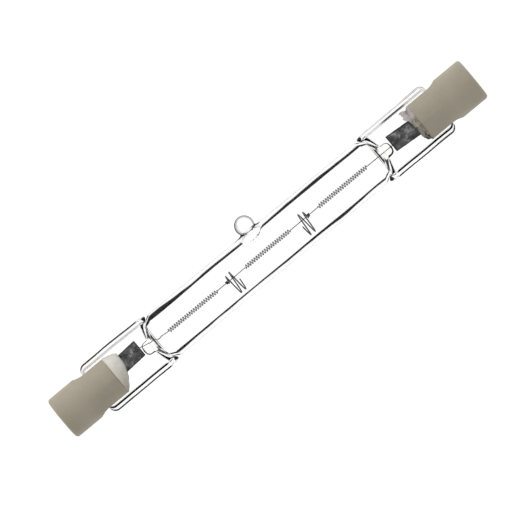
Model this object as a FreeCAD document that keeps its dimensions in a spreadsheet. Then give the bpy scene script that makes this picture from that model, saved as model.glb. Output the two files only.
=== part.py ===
import FreeCAD, Part

import math
import os

import Sketcher
from FreeCAD import Placement, Rotation, Vector

# Linear halogen lamp: a pressed quartz tube with a coiled filament and two slotted ceramic caps.
# The lamp is drawn with its long axis on X, its exhaust tip towards +Y and its flat pinches in
# the XY plane. Every piece is then turned about X and lifted by the same amount, so that the
# lamp lies on the floor as it comes to rest: on the tube and on the exhaust tip.

doc = FreeCAD.newDocument("linear_halogen_lamp")

# How finely wire is drawn: flat sides round it, and straight pieces in one turn
WIRE_SIDES = 4
COIL_STEPS = 6
SUPPORT_STEPS = 14

# How many bevels stand for the rounding of a rim or corner
RIM_STEPS = 2
BULB_STEPS = 3

CLOSE = 1e-4  # two places nearer than this are taken as one, in millimetres

# Driving sizes in millimetres, one row each: alias, value, meaning
SIZES = [
    ("overall_length", 117.6, "over the rims of both caps"),
    ("contact_recess", 1.7, "from a cap's rim in to the face of its contact"),
    ("cap_diameter", 10.5, "ceramic cap"),
    ("cap_length", 15.2, "ceramic cap"),
    ("cap_edge_round", 0.7, "rounding of a cap's outer rim"),
    ("cap_mouth_bevel", 0.3, "chamfer of a cap's rim towards the tube"),
    ("slot_depth", 8.1, "slot in a cap, from its mouth"),
    ("slot_height", 4.9, "slot in a cap, across the flat of the pinch"),
    ("recess_diameter", 5.0, "contact recess in a cap"),
    ("recess_flare", 0.7, "lead-in chamfer of the contact recess"),
    ("contact_diameter", 4.4, "contact button"),
    ("contact_thickness", 1.0, "contact button"),
    ("contact_round", 0.25, "rounding of the contact's rim"),
    ("contact_clearance", 0.05, "between a contact's button and its seat, on the radius"),
    ("stem_diameter", 1.6, "hollow stem of a contact"),
    ("stem_clearance", 0.05, "between a contact's stem and its hole, on the radius"),
    ("tube_diameter", 11.6, "quartz tube, outside"),
    ("tube_wall", 1.25, "quartz tube"),
    ("bulb_end_round", 2.8, "rounding of the bulb's ends, outside"),
    ("end_wall", 1.2, "quartz between the hollow and the bulb's end"),
    ("cavity_end_round", 2.2, "rounding of the hollow's ends"),
    ("cement_bed", 2.6, "cement in a cap's slot behind the pinch"),
    ("pinch_length", 15.9, "from the bulb's end"),
    ("pinch_width", 12.8, "over both edge beads"),
    ("pinch_web", 2.6, "thickness between the edge beads"),
    ("bead_width", 0.9, "edge bead, at its top"),
    ("bead_height", 4.2, "thickness of the pinch over an edge bead"),
    ("bead_slope", 0.35, "how far the inner side of a bead leans"),
    ("bead_round", 0.7, "rounding of the edge beads"),
    ("flare_overlap", 1.2, "from where the pinch has its full width to the bulb's end"),
    ("flare_length", 2.6, "where the tube widens into the pinch"),
    ("flare_inset", 0.2, "how deep the flare starts below the tube's surface"),
    ("pinch_corner", 1.6, "rounding of a pinch's outer corners"),
    ("canal_width", 3.0, "hollow from the bulb towards a foil"),
    ("canal_height", 1.4, "hollow from the bulb towards a foil"),
    ("canal_length", 3.4, "hollow from the bulb towards a foil"),
    ("tip_offset", 0.7, "exhaust tip, from the lamp's middle towards -X"),
    ("tip_reach", 9.5, "top of the exhaust tip, from the lamp's axis"),
    ("tip_diameter", 4.5, "exhaust tip, a melted ball"),
    ("tip_neck", 4.0, "exhaust tip, where it leaves the tube"),
    ("tip_foot", 0.4, "flare at the foot of the exhaust tip"),
    ("tip_bore", 2.7, "sealed-off bore of the exhaust tip"),
    ("tip_bore_reach", 6.4, "end of that bore, from the lamp's axis"),
    ("funnel_width", 6.8, "wide end of the funnel from the tube into that bore"),
    ("funnel_low", 3.0, "wide end of the funnel, from the lamp's axis"),
    ("funnel_top", 5.4, "narrow end of the funnel, from the lamp's axis"),
    ("foil_width", 4.1, "seal foil"),
    ("foil_offset_left", 0.9, "how far the left foil lies off the axis, towards the exhaust tip"),
    ("foil_thickness", 0.06, "seal foil"),
    ("foil_gap", 0.2, "quartz between the canal and a foil"),
    ("foil_margin", 2.5, "quartz between a foil and the pinch's outer end"),
    ("lead_diameter", 0.8, "outer lead"),
    ("lead_flat", 0.05, "how deep a lead is flattened where it is welded to its foil"),
    ("lead_overlap", 2.5, "weld of a lead on its foil"),
    ("wire_diameter", 0.16, "filament wire"),
    ("coil_diameter", 1.1, "filament coil, outside"),
    ("coil_pitch", 0.6, "filament coil"),
    ("middle_coil_length", 13.0, "middle section of the filament"),
    ("coil_gap", 7.8, "straight wire between two sections"),
    ("coil_end_gap", 3.5, "from an outer section of the filament to the end of the hollow"),
    ("tail_overlap", 1.6, "weld of the filament's end on a foil"),
    ("tail_clearance", 0.02, "round the filament's end in the quartz"),
    ("support_wire", 0.3, "support wire"),
    ("hoop_diameter", 5.8, "support hoops, outside"),
    ("hoop_pitch", 1.5, "support hoops"),
    ("hoop_turns", 1.5, "support hoops"),
    ("hoop_lean", 45, "degrees from the side opposite the tip round to where the hoops stand"),
    ("hoop_clearance", 0.02, "between the hoops and the tube's wall"),
    ("eye_turns", 1.5, "support wire wound round the filament"),
    ("eye_pitch", 0.36, "support wire wound round the filament"),
    ("eye_clearance", 0.03, "between a support's eye and the filament"),
    ("opening_turns", 0.75, "support wire between its eye and its hoops"),
    ("cement_width", 9.0, "cement in a cap's slot"),
    ("collar_diameter", 9.4, "cement collar at a cap's mouth"),
    ("collar_front", 6.2, "cement collar at its front edge"),
    ("cement_reach_left", 2.8, "cement in front of the left cap"),
    ("cement_reach_right", 0.9, "cement in front of the right cap"),
]

sheet = doc.addObject("Spreadsheet::Sheet", "sizes")
for row, (alias, number, meaning) in enumerate(SIZES, start=1):
    sheet.set(f"A{row}", alias)
    sheet.set(f"B{row}", str(number))
    sheet.set(f"C{row}", meaning)
    sheet.setAlias(f"B{row}", alias)
doc.recompute()


def size(expression):
    """The present value of an expression over the sheet's aliases."""
    value = sheet.evalExpression(expression)
    return float(getattr(value, "Value", value))


# Places that follow from the sizes, as expressions
TUBE_RADIUS = "sizes.tube_diameter / 2"
BORE_RADIUS = "(sizes.tube_diameter / 2 - sizes.tube_wall)"
TIP_RADIUS = "sizes.tip_diameter / 2"
CAP_RADIUS = "sizes.cap_diameter / 2"
LEAD_RADIUS = "sizes.lead_diameter / 2"
CAP_END = "sizes.overall_length / 2"
CAP_MOUTH = f"({CAP_END} - sizes.cap_length)"
SLOT_END = f"({CAP_MOUTH} + sizes.slot_depth)"
CONTACT_FACE = f"({CAP_END} - sizes.contact_recess)"
CONTACT_SEAT = f"({CONTACT_FACE} - sizes.contact_thickness)"
STEM_HOLE_RADIUS = "(sizes.stem_diameter / 2 + sizes.stem_clearance)"
PINCH_END = f"({SLOT_END} - sizes.cement_bed)"
BULB_END = f"({PINCH_END} - sizes.pinch_length)"
FLARE_END = f"({BULB_END} - sizes.flare_overlap)"
CAVITY_END = f"({BULB_END} - sizes.end_wall)"
CANAL_END = f"({CAVITY_END} + sizes.canal_length)"
FOIL_START = f"({CANAL_END} + sizes.foil_gap)"
FOIL_END = f"({PINCH_END} - sizes.foil_margin)"
FOIL_TOP = "-(sizes.lead_diameter / 2 - sizes.lead_flat)"
LEAD_START = f"({FOIL_END} - sizes.lead_overlap)"
LEAD_END = f"({CONTACT_FACE} - sizes.contact_thickness / 2)"
TAIL_END = f"({FOIL_START} + sizes.tail_overlap)"
TAIL_BED_TOP = f"({FOIL_TOP} + sizes.wire_diameter + 2 * sizes.tail_clearance)"

# The lamp rolls on its tube until the round end of the exhaust tip meets the floor
TIP_BALL = "(sizes.tip_reach - sizes.tip_diameter / 2)"
ROLL = f"asin(({TUBE_RADIUS} - sizes.tip_diameter / 2) / {TIP_BALL})"
TIP_SIDE = f"({TIP_BALL} * cos({ROLL}) + sizes.tip_diameter / 2)"
PINCH_SIDE = (
    f"((sizes.pinch_width / 2 - sizes.bead_round) * cos({ROLL})"
    f" + (sizes.bead_height / 2 - sizes.bead_round) * sin({ROLL}) + sizes.bead_round)"
)
SIDE_SHIFT = f"({PINCH_SIDE} - {TIP_SIDE}) / 2"


def lay_down(piece):
    """Turn a piece about the lamp's axis and lift it, so that the whole lamp lies at rest."""
    piece.Placement = Placement(Vector(0, 0, 0), Rotation(Vector(1, 0, 0), -1))
    piece.setExpression("Placement.Rotation.Angle", f"-{ROLL}")
    piece.setExpression("Placement.Base.y", SIDE_SHIFT)
    piece.setExpression("Placement.Base.z", TUBE_RADIUS)


def new_body(label):
    body = doc.addObject("PartDesign::Body", label)
    body.Label = label
    lay_down(body)
    return body


def plane_of(body, role):
    return next(item for item in body.Origin.OriginFeatures if item.Role == role)


def bind(sketch, constraint, expression):
    """Add a dimension to a sketch and tie it to an expression."""
    index = sketch.addConstraint(constraint)
    sketch.setExpression(f"Constraints[{index}]", expression)


def place_across(sketch, geometry, point, across):
    """Fix how far a sketch point lies across, by an expression or None for zero."""
    if across is None:
        sketch.addConstraint(Sketcher.Constraint("PointOnObject", geometry, point, -2))
    else:
        bind(sketch, Sketcher.Constraint("DistanceX", -1, 1, geometry, point, size(across)), across)


def place_point(sketch, geometry, point, across, up):
    """Fix a sketch point by its two coordinates, each an expression or None for zero."""
    place_across(sketch, geometry, point, across)
    if up is None:
        sketch.addConstraint(Sketcher.Constraint("PointOnObject", geometry, point, -1))
    else:
        bind(sketch, Sketcher.Constraint("DistanceY", -1, 1, geometry, point, size(up)), up)


def new_sketch(body, name, role, offset=None):
    """A sketch on one of the body's planes, moved along the plane's normal if asked."""
    sketch = body.newObject("Sketcher::SketchObject", name)
    sketch.AttachmentSupport = [(plane_of(body, role), "")]
    sketch.MapMode = "FlatFace"
    if offset:
        sketch.setExpression("AttachmentOffset.Base.z", offset)
    return sketch


def spot(x, y):
    """A sketch point from two expressions, each None for zero."""
    return Vector(size(x) if x else 0, size(y) if y else 0, 0)


def add_outline(sketch, corners, arcs=None):
    """Draw a closed outline through corners given as expressions.

    Its sides are straight, or anticlockwise arcs where arcs maps a side's number to the
    expressions of the arc's centre.
    """
    arcs = arcs or {}
    spots = [spot(x, y) for x, y in corners]
    first = sketch.GeometryCount
    count = len(corners)
    for i in range(count):
        start = spots[i]
        end = spots[(i + 1) % count]
        if i in arcs:
            centre = spot(*arcs[i])
            turn_from = math.atan2(start.y - centre.y, start.x - centre.x)
            turn_to = math.atan2(end.y - centre.y, end.x - centre.x)
            circle = Part.Circle(centre, Vector(0, 0, 1), centre.distanceToPoint(start))
            sketch.addGeometry(Part.ArcOfCircle(circle, turn_from, turn_to), False)
        else:
            sketch.addGeometry(Part.LineSegment(start, end), False)
    for i in range(count):
        joint = Sketcher.Constraint("Coincident", first + i, 2, first + (i + 1) % count, 1)
        sketch.addConstraint(joint)
    for i, (x, y) in enumerate(corners):
        place_point(sketch, first + i, 1, x, y)
    for i, (centre_x, _) in arcs.items():
        place_across(sketch, first + i, 3, centre_x)


def add_circle(sketch, radius):
    """Draw a circle about the sketch's origin."""
    circle = sketch.addGeometry(Part.Circle(Vector(), Vector(0, 0, 1), size(radius)), False)
    sketch.addConstraint(Sketcher.Constraint("Coincident", circle, 3, -1, 1))
    bind(sketch, Sketcher.Constraint("Radius", circle, size(radius)), radius)


def revolve(body, kind, name, sketch, axis):
    """A full turn of a sketch about one of its own axes, added or cut away."""
    feature = body.newObject(kind, name)
    feature.Profile = sketch
    feature.ReferenceAxis = (sketch, [axis])
    feature.Angle = 360
    body.Tip = feature
    doc.recompute()
    return feature


def extrude_both_ways(body, kind, name, sketch, length):
    """A pad or pocket that reaches as far to both sides of its sketch."""
    feature = body.newObject(kind, name)
    feature.Profile = sketch
    feature.SideType = "Symmetric"
    feature.setExpression("Length", length)
    body.Tip = feature
    doc.recompute()
    return feature


def round_edges(body, name, radius, chosen):
    """Round the edges of the body's last feature that the given test picks."""
    base = body.Tip
    names = [f"Edge{i}" for i, edge in enumerate(base.Shape.Edges, start=1) if chosen(edge)]
    if not names:
        raise RuntimeError(f"{name} found no edge to round")
    feature = body.newObject("PartDesign::Fillet", name)
    feature.Base = (base, names)
    feature.setExpression("Radius", radius)
    body.Tip = feature
    doc.recompute()
    return feature


def mirrored(source, label):
    """The same piece at the other end of the lamp."""
    copy = doc.addObject("Part::Mirroring", label)
    copy.Label = label
    copy.Source = source
    copy.Base = Vector(0, 0, 0)
    copy.Normal = Vector(1, 0, 0)
    return copy


def rounded_corner(end, side, rounding, bevels):
    """Corners of an outline that turns from a side to an end, rounded by a few bevels."""
    corners = []
    for i in range(bevels + 1):
        angle = 90 * i / bevels
        corners.append((
            f"({end} - {rounding} * (1 - sin({angle})))",
            f"({side} - {rounding} * (1 - cos({angle})))",
        ))
    return corners


# Ceramic cap: a turned body with a contact recess, slotted from the mouth to take the pinch

def make_cap(label):
    body = new_body(label)
    profile = new_sketch(body, "cap_profile", "XY_Plane")
    recess_radius = "sizes.recess_diameter / 2"
    seat_radius = "(sizes.contact_diameter / 2 + sizes.contact_clearance)"
    add_outline(profile, [
        (CAP_MOUTH, STEM_HOLE_RADIUS),
        (CAP_MOUTH, f"({CAP_RADIUS} - sizes.cap_mouth_bevel)"),
        (f"({CAP_MOUTH} + sizes.cap_mouth_bevel)", CAP_RADIUS),
        *rounded_corner(CAP_END, CAP_RADIUS, "sizes.cap_edge_round", RIM_STEPS),
        (CAP_END, f"({recess_radius} + sizes.recess_flare)"),
        (f"({CAP_END} - sizes.recess_flare)", recess_radius),
        (CONTACT_FACE, recess_radius),
        (CONTACT_FACE, seat_radius),
        (CONTACT_SEAT, seat_radius),
        (CONTACT_SEAT, STEM_HOLE_RADIUS),
    ])
    revolve(body, "PartDesign::Revolution", "cap_turned", profile, "H_Axis")
    slot = new_sketch(body, "slot_outline", "XZ_Plane")
    add_outline(slot, [
        (CAP_MOUTH, "-sizes.slot_height / 2"),
        (SLOT_END, "-sizes.slot_height / 2"),
        (SLOT_END, "sizes.slot_height / 2"),
        (CAP_MOUTH, "sizes.slot_height / 2"),
    ])
    extrude_both_ways(body, "PartDesign::Pocket", "slot", slot, "2 * sizes.cap_diameter")
    return body


# End contact: a button in the cap's recess, with a hollow stem crimped on the lead

def make_contact(label):
    body = new_body(label)
    profile = new_sketch(body, "contact_profile", "XY_Plane")
    stem_radius = "sizes.stem_diameter / 2"
    button_radius = "sizes.contact_diameter / 2"
    add_outline(profile, [
        (SLOT_END, LEAD_RADIUS),
        (SLOT_END, stem_radius),
        (CONTACT_SEAT, stem_radius),
        (CONTACT_SEAT, button_radius),
        *rounded_corner(CONTACT_FACE, button_radius, "sizes.contact_round", RIM_STEPS),
        (CONTACT_FACE, None),
        (LEAD_END, None),
        (LEAD_END, LEAD_RADIUS),
    ])
    revolve(body, "PartDesign::Revolution", "contact_turned", profile, "H_Axis")
    return body


# Outer lead: a round wire, flattened underneath where it is welded to the foil

def make_lead(label):
    body = new_body(label)
    section = new_sketch(body, "lead_section", "YZ_Plane", LEAD_START)
    add_circle(section, LEAD_RADIUS)
    wire = body.newObject("PartDesign::Pad", "lead_wire")
    wire.Profile = section
    wire.setExpression("Length", f"{LEAD_END} - {LEAD_START}")
    body.Tip = wire
    doc.recompute()
    flat = new_sketch(body, "weld_flat", "XZ_Plane")
    add_outline(flat, [
        (LEAD_START, f"-{LEAD_RADIUS}"),
        (FOIL_END, f"-{LEAD_RADIUS}"),
        (FOIL_END, FOIL_TOP),
        (LEAD_START, FOIL_TOP),
    ])
    extrude_both_ways(body, "PartDesign::Pocket", "weld", flat, "2 * sizes.lead_diameter")
    return body


# Seal foil: a thin strip in the pinch, under the lead

def make_foil(label, offset):
    body = new_body(label)
    outline = new_sketch(body, "foil_outline", "XY_Plane", f"({FOIL_TOP} - sizes.foil_thickness / 2)")
    low_edge = f"({offset} - sizes.foil_width / 2)"
    high_edge = f"({offset} + sizes.foil_width / 2)"
    add_outline(outline, [
        (FOIL_START, low_edge),
        (FOIL_END, low_edge),
        (FOIL_END, high_edge),
        (FOIL_START, high_edge),
    ])
    extrude_both_ways(body, "PartDesign::Pad", "foil_strip", outline, "sizes.foil_thickness")
    return body


# Bulb: the round tube with rounded ends and the exhaust tip drawn out of its side

def add_turned_rod(body, name, end, radius, rounding):
    """A round rod along the lamp, as long to both sides, with bevelled ends."""
    profile = new_sketch(body, f"{name}_profile", "XY_Plane")
    rim = rounded_corner(end, radius, rounding, BULB_STEPS)
    other_rim = [(f"-{x}", y) for x, y in reversed(rim)]
    add_outline(profile, [(end, None), (f"-{end}", None), *other_rim, *rim])
    revolve(body, "PartDesign::Revolution", name, profile, "H_Axis")


def add_tip(body, name, corners, arcs=None):
    """A piece turned about the exhaust tip's own axis, from corners as across and out."""
    profile = new_sketch(body, f"{name}_profile", "XY_Plane")
    profile.setExpression("AttachmentOffset.Base.x", "-sizes.tip_offset")
    add_outline(profile, corners, arcs)
    revolve(body, "PartDesign::Revolution", name, profile, "V_Axis")


def make_bulb():
    body = new_body("bulb")
    add_turned_rod(body, "tube", BULB_END, TUBE_RADIUS, "sizes.bulb_end_round")
    low = f"({BORE_RADIUS} + sizes.tube_wall / 4)"
    tip_corners = [
        (None, low),
        ("(sizes.tip_neck / 2 + sizes.tip_foot)", low),
        ("sizes.tip_neck / 2", f"({TUBE_RADIUS} + sizes.tip_foot)"),
        (TIP_RADIUS, TIP_BALL),
        (None, "sizes.tip_reach"),
    ]
    add_tip(body, "tip", tip_corners, arcs={3: (None, TIP_BALL)})
    return body


# Pinch: a flat plate that flares out of the tube, with a thick bead along each edge

def make_pinch():
    body = new_body("pinch")
    plan = new_sketch(body, "pinch_plan", "XY_Plane")
    half_width = "sizes.pinch_width / 2"
    flare_start = f"({FLARE_END} - sizes.flare_length)"
    inner_half_width = f"({TUBE_RADIUS} - sizes.flare_inset)"
    side = [
        (flare_start, inner_half_width),
        (FLARE_END, half_width),
        *rounded_corner(PINCH_END, half_width, "sizes.pinch_corner", RIM_STEPS),
    ]
    other_side = [(x, f"-{y}") for x, y in reversed(side)]
    add_outline(plan, side + other_side)
    extrude_both_ways(body, "PartDesign::Pad", "plate", plan, "sizes.bead_height")
    start = size(flare_start)
    top = size("sizes.bead_height / 2")

    def on_top_outline(edge):
        corners = [vertex.Point for vertex in edge.Vertexes]
        level = all(abs(abs(corner.z) - top) < CLOSE for corner in corners)
        inside = all(abs(corner.x - start) < CLOSE for corner in corners)
        return level and not inside and abs(corners[0].z - corners[-1].z) < CLOSE

    round_edges(body, "bead_rounding", "sizes.bead_round", on_top_outline)
    recess = new_sketch(body, "web_recess", "YZ_Plane", flare_start)
    recess_half_width = f"({half_width} - sizes.bead_width)"
    web_half_width = f"({half_width} - sizes.bead_width - sizes.bead_slope)"
    for side in ("", "-"):
        add_outline(recess, [
            (f"-{web_half_width}", f"{side}sizes.pinch_web / 2"),
            (web_half_width, f"{side}sizes.pinch_web / 2"),
            (recess_half_width, f"{side}sizes.bead_height / 2"),
            (f"-{recess_half_width}", f"{side}sizes.bead_height / 2"),
        ])
    extrude_both_ways(body, "PartDesign::Pocket", "web", recess, f"2 * {PINCH_END}")
    return body


# Hollow: the gas space in the bulb, the canals to the foils and the sealed-off tip bore

def make_hollow():
    body = new_body("hollow")
    add_turned_rod(body, "bore", CAVITY_END, BORE_RADIUS, "sizes.cavity_end_round")
    add_tip(body, "tip_bore", [
        (None, None),
        ("sizes.funnel_width / 2", None),
        ("sizes.funnel_width / 2", "sizes.funnel_low"),
        ("sizes.tip_bore / 2", "sizes.funnel_top"),
        (None, "sizes.tip_bore_reach"),
    ])
    canal = new_sketch(body, "canal_plan", "XY_Plane")
    canal_radius = "sizes.canal_width / 2"
    canal_centre = f"({CANAL_END} - {canal_radius})"
    add_outline(
        canal,
        [
            (f"-{canal_centre}", f"-{canal_radius}"),
            (canal_centre, f"-{canal_radius}"),
            (canal_centre, canal_radius),
            (f"-{canal_centre}", canal_radius),
        ],
        arcs={1: (canal_centre, None), 3: (f"-{canal_centre}", None)},
    )
    extrude_both_ways(body, "PartDesign::Pad", "canals", canal, "sizes.canal_height")
    bed = new_sketch(body, "tail_beds", "XZ_Plane")
    add_outline(bed, [
        (f"-{TAIL_END}", FOIL_TOP),
        (TAIL_END, FOIL_TOP),
        (TAIL_END, TAIL_BED_TOP),
        (f"-{TAIL_END}", TAIL_BED_TOP),
    ])
    bed_width = "sizes.wire_diameter + 2 * sizes.tail_clearance"
    extrude_both_ways(body, "PartDesign::Pad", "tails", bed, bed_width)
    return body


def fused(label, pieces):
    joint = doc.addObject("Part::MultiFuse", label)
    joint.Shapes = pieces
    return joint


def cut(label, base, tool):
    result = doc.addObject("Part::Cut", label)
    result.Label = label
    result.Base = base
    result.Tool = tool
    return result


# Cement: fills the slot round the pinch and stands out as a tapered collar in front of the cap

def make_cement_block(name, reach):
    body = new_body(name)
    mouth = new_sketch(body, "cement_mouth", "YZ_Plane", CAP_MOUTH)
    half_width = "sizes.cement_width / 2"
    half_height = "sizes.slot_height / 2"
    add_outline(mouth, [
        (f"-{half_width}", f"-{half_height}"),
        (half_width, f"-{half_height}"),
        (half_width, half_height),
        (f"-{half_width}", half_height),
    ])
    block = body.newObject("PartDesign::Pad", "cement_fill")
    block.Profile = mouth
    block.setExpression("Length", "sizes.slot_depth")
    body.Tip = block
    doc.recompute()
    collar = new_sketch(body, "collar_profile", "XY_Plane")
    front = f"({CAP_MOUTH} - {reach})"
    add_outline(collar, [
        (front, None),
        (CAP_MOUTH, None),
        (CAP_MOUTH, "sizes.collar_diameter / 2"),
        (front, "sizes.collar_front / 2"),
    ])
    revolve(body, "PartDesign::Revolution", "cement_collar", collar, "H_Axis")
    return body


# Bent wire: straight pieces with mitred joints along a path, so that every face is flat

def bent_wire(path, diameter):
    count = len(path)
    ways = [(path[i + 1] - path[i]).normalize() for i in range(count - 1)]
    side = ways[0].cross(Vector(0, 0, 1)).normalize()
    top = side.cross(ways[0]).normalize()
    radius = diameter / 2
    angles = [2 * math.pi * k / WIRE_SIDES for k in range(WIRE_SIDES)]
    ring = [path[0] + side * (radius * math.cos(a)) + top * (radius * math.sin(a)) for a in angles]
    rings = [ring]
    for i in range(1, count):
        onward = ways[i] if i < count - 1 else ways[i - 1]
        mitre = (ways[i - 1] + onward).normalize()
        reach = ways[i - 1].dot(mitre)
        ring = [p + ways[i - 1] * ((path[i] - p).dot(mitre) / reach) for p in ring]
        rings.append(ring)
    faces = [Part.Face(Part.makePolygon(end + end[:1])) for end in (rings[0], rings[-1])]
    for before, after in zip(rings, rings[1:]):
        for k in range(WIRE_SIDES):
            n = (k + 1) % WIRE_SIDES
            corners = [before[k], before[n], after[n], after[k], before[k]]
            faces.append(Part.Face(Part.makePolygon(corners)))
    shell = Part.makeShell(faces)
    shell.sewShape()
    solid = Part.makeSolid(shell)
    if solid.Volume < 0:
        solid.reverse()
    return solid


def add_wire_piece(label, path, diameter):
    piece = doc.addObject("Part::Feature", label)
    piece.Label = label
    piece.Shape = bent_wire(path, diameter)
    lay_down(piece)
    return piece


# Filament: one wire with three wound sections on the lamp's axis, its ends down on the foils

def coil_path(start, length, radius, pitch):
    """Points of a wound section along X, with a whole number of turns."""
    turns = max(1, round(length / pitch))
    steps = turns * COIL_STEPS
    points = []
    for i in range(steps + 1):
        angle = 2 * math.pi * i / COIL_STEPS
        points.append(Vector(start + length * i / steps, radius * math.cos(angle), radius * math.sin(angle)))
    return points


def filament_path():
    middle = size("sizes.middle_coil_length")
    gap = size("sizes.coil_gap")
    outer_start = middle / 2 + gap
    outer = size(f"{CAVITY_END} - sizes.coil_end_gap") - outer_start
    radius = size("(sizes.coil_diameter - sizes.wire_diameter) / 2")
    pitch = size("sizes.coil_pitch")
    tail_height = size(f"({FOIL_TOP} + sizes.wire_diameter / 2 + sizes.tail_clearance)")
    tail_end = size(TAIL_END)
    tail_bend = size(f"{CANAL_END} - sizes.canal_width / 2")
    cavity_end = size(CAVITY_END)
    path = [
        Vector(-tail_end, 0, tail_height),
        Vector(-tail_bend, 0, tail_height),
        Vector(-cavity_end, 0, 0),
    ]
    for start, length in ((-outer_start - outer, outer), (-middle / 2, middle), (outer_start, outer)):
        path.append(Vector(start - radius, 0, 0))
        path.extend(coil_path(start, length, radius, pitch))
        path.append(Vector(start + length + radius, 0, 0))
    path.extend([
        Vector(cavity_end, 0, 0),
        Vector(tail_bend, 0, tail_height),
        Vector(tail_end, 0, tail_height),
    ])
    return path


# Support: an eye wound round the filament that opens out into hoops on the tube's wall

def support_path(middle):
    wire = size("sizes.support_wire")
    eye = size("sizes.wire_diameter / 2 + sizes.eye_clearance + sizes.support_wire / 2")
    eye /= math.cos(math.pi / SUPPORT_STEPS)
    hoop = size("(sizes.hoop_diameter - sizes.support_wire) / 2")
    hoop_pitch = size("sizes.hoop_pitch")
    reach = hoop + wire / 2 / math.cos(math.pi / SUPPORT_STEPS)
    sink = size(f"{BORE_RADIUS} - sizes.hoop_clearance") - reach
    lean = math.radians(size("sizes.hoop_lean"))
    sink_y = sink * math.cos(lean)
    sink_z = sink * math.sin(lean)
    eye_turns = size("sizes.eye_turns")
    eye_pitch = size("sizes.eye_pitch")
    opening = size("sizes.opening_turns")
    turns = eye_turns + opening + size("sizes.hoop_turns")
    steps = round(turns * SUPPORT_STEPS)
    points = []
    along = 0.0
    for i in range(steps + 1):
        turn = i / SUPPORT_STEPS
        opened = min(max((turn - eye_turns) / opening, 0), 1)
        opened = opened * opened * (3 - 2 * opened)
        radius = eye + (hoop - eye) * opened
        angle = 2 * math.pi * turn
        y = radius * math.cos(angle) - sink_y * opened
        z = radius * math.sin(angle) - sink_z * opened
        points.append(Vector(along, y, z))
        along += (eye_pitch * (1 - opened) + hoop_pitch * opened) / SUPPORT_STEPS
    shift = middle - along / 2
    return [point + Vector(shift, 0, 0) for point in points]


cap_right = make_cap("ceramic_cap_right")
contact_right = make_contact("end_contact_right")
lead_right = make_lead("outer_lead_right")
foil_right = make_foil("seal_foil_right", "0")
foil_of_left = make_foil("foil_of_left", "sizes.foil_offset_left")
cap_left = mirrored(cap_right, "ceramic_cap_left")
contact_left = mirrored(contact_right, "end_contact_left")
lead_left = mirrored(lead_right, "outer_lead_left")
foil_left = mirrored(foil_of_left, "seal_foil_left")

# The quartz is pressed hot round the foils and the leads, so they are cut out of it as they are
pinch = make_pinch()
glass = fused("glass", [make_bulb(), pinch, mirrored(pinch, "pinch_left")])
space = fused("space", [make_hollow(), foil_right, foil_left, lead_right, lead_left])
envelope = cut("quartz_envelope", glass, space)

# The cement is cast round the pinch and the lead
cement_mould = fused("cement_mould", [glass, lead_right])
cement_right = cut(
    "cement_right", make_cement_block("cement_block_right", "sizes.cement_reach_right"), cement_mould
)
cement_of_left = cut(
    "cement_of_left", make_cement_block("cement_block_left", "sizes.cement_reach_left"), cement_mould
)
cement_left = mirrored(cement_of_left, "cement_left")

filament = add_wire_piece("filament", filament_path(), size("sizes.wire_diameter"))
support_middle = size("sizes.middle_coil_length / 2 + sizes.coil_gap / 2")
support_left = add_wire_piece(
    "filament_support_left", support_path(-support_middle), size("sizes.support_wire")
)
support_right = mirrored(support_left, "filament_support_right")
doc.recompute()

for item in doc.Objects:
    if "Invalid" in item.State or "Error" in item.State:
        raise RuntimeError(f"{item.Label} failed: {item.State}")

os.makedirs("parts", exist_ok=True)
pieces = [
    envelope, filament, support_left, support_right, foil_left, foil_right, lead_left, lead_right,
    contact_left, contact_right, cap_left, cap_right, cement_left, cement_right,
]
for piece in pieces:
    shape = piece.Shape
    if shape.isNull() or not shape.isValid():
        raise RuntimeError(f"{piece.Label} has no valid shape")
    if len(shape.Solids) != 1:
        raise RuntimeError(f"{piece.Label} is {len(shape.Solids)} solids")
for piece in pieces:
    piece.Shape.exportStep(f"parts/{piece.Label}.step")
    print(f"{piece.Label}: {piece.Shape.Volume:.2f} mm3")
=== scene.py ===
# %% [markdown]
# # A linear halogen lamp, dressed for its portrait
# The lamp is a clear quartz tube, pressed flat at both ends, with a ceramic cap on each pinch.
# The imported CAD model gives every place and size. This lesson draws the pieces again with the
# detail that the eye looks for: smooth glass, round wound wire, crinkled foil and rough cement.

import math

import bmesh
import bpy
import numpy as np
from mathutils import Matrix, Vector, noise


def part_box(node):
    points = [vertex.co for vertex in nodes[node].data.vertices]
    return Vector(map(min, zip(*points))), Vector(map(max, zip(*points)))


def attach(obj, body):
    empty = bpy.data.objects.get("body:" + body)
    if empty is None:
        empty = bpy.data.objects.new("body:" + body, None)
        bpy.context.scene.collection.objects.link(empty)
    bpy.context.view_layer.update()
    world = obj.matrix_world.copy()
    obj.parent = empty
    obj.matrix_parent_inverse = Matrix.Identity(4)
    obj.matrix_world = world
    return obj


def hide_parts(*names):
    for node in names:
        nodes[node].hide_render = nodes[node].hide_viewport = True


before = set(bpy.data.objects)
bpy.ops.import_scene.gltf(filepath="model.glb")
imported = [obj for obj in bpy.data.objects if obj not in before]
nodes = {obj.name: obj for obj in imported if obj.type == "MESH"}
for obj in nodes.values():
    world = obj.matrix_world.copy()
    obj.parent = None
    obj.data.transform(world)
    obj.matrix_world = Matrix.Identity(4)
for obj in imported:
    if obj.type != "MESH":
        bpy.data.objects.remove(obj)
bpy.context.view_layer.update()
print("CAD nodes:", ", ".join(sorted(nodes)))

# %% [markdown]
# ## The lamp's own frame
# The lamp lies on the floor, rolled about its long axis until its exhaust tip touches down.
# Drawing is easier in the lamp's own frame: X along the tube, Y towards the tip and Z square to
# the flat pinches. A cap is round, so the middle of its box is the axis, and a seal foil is flat,
# so the direction in which its points spread the most gives the roll.

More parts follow.
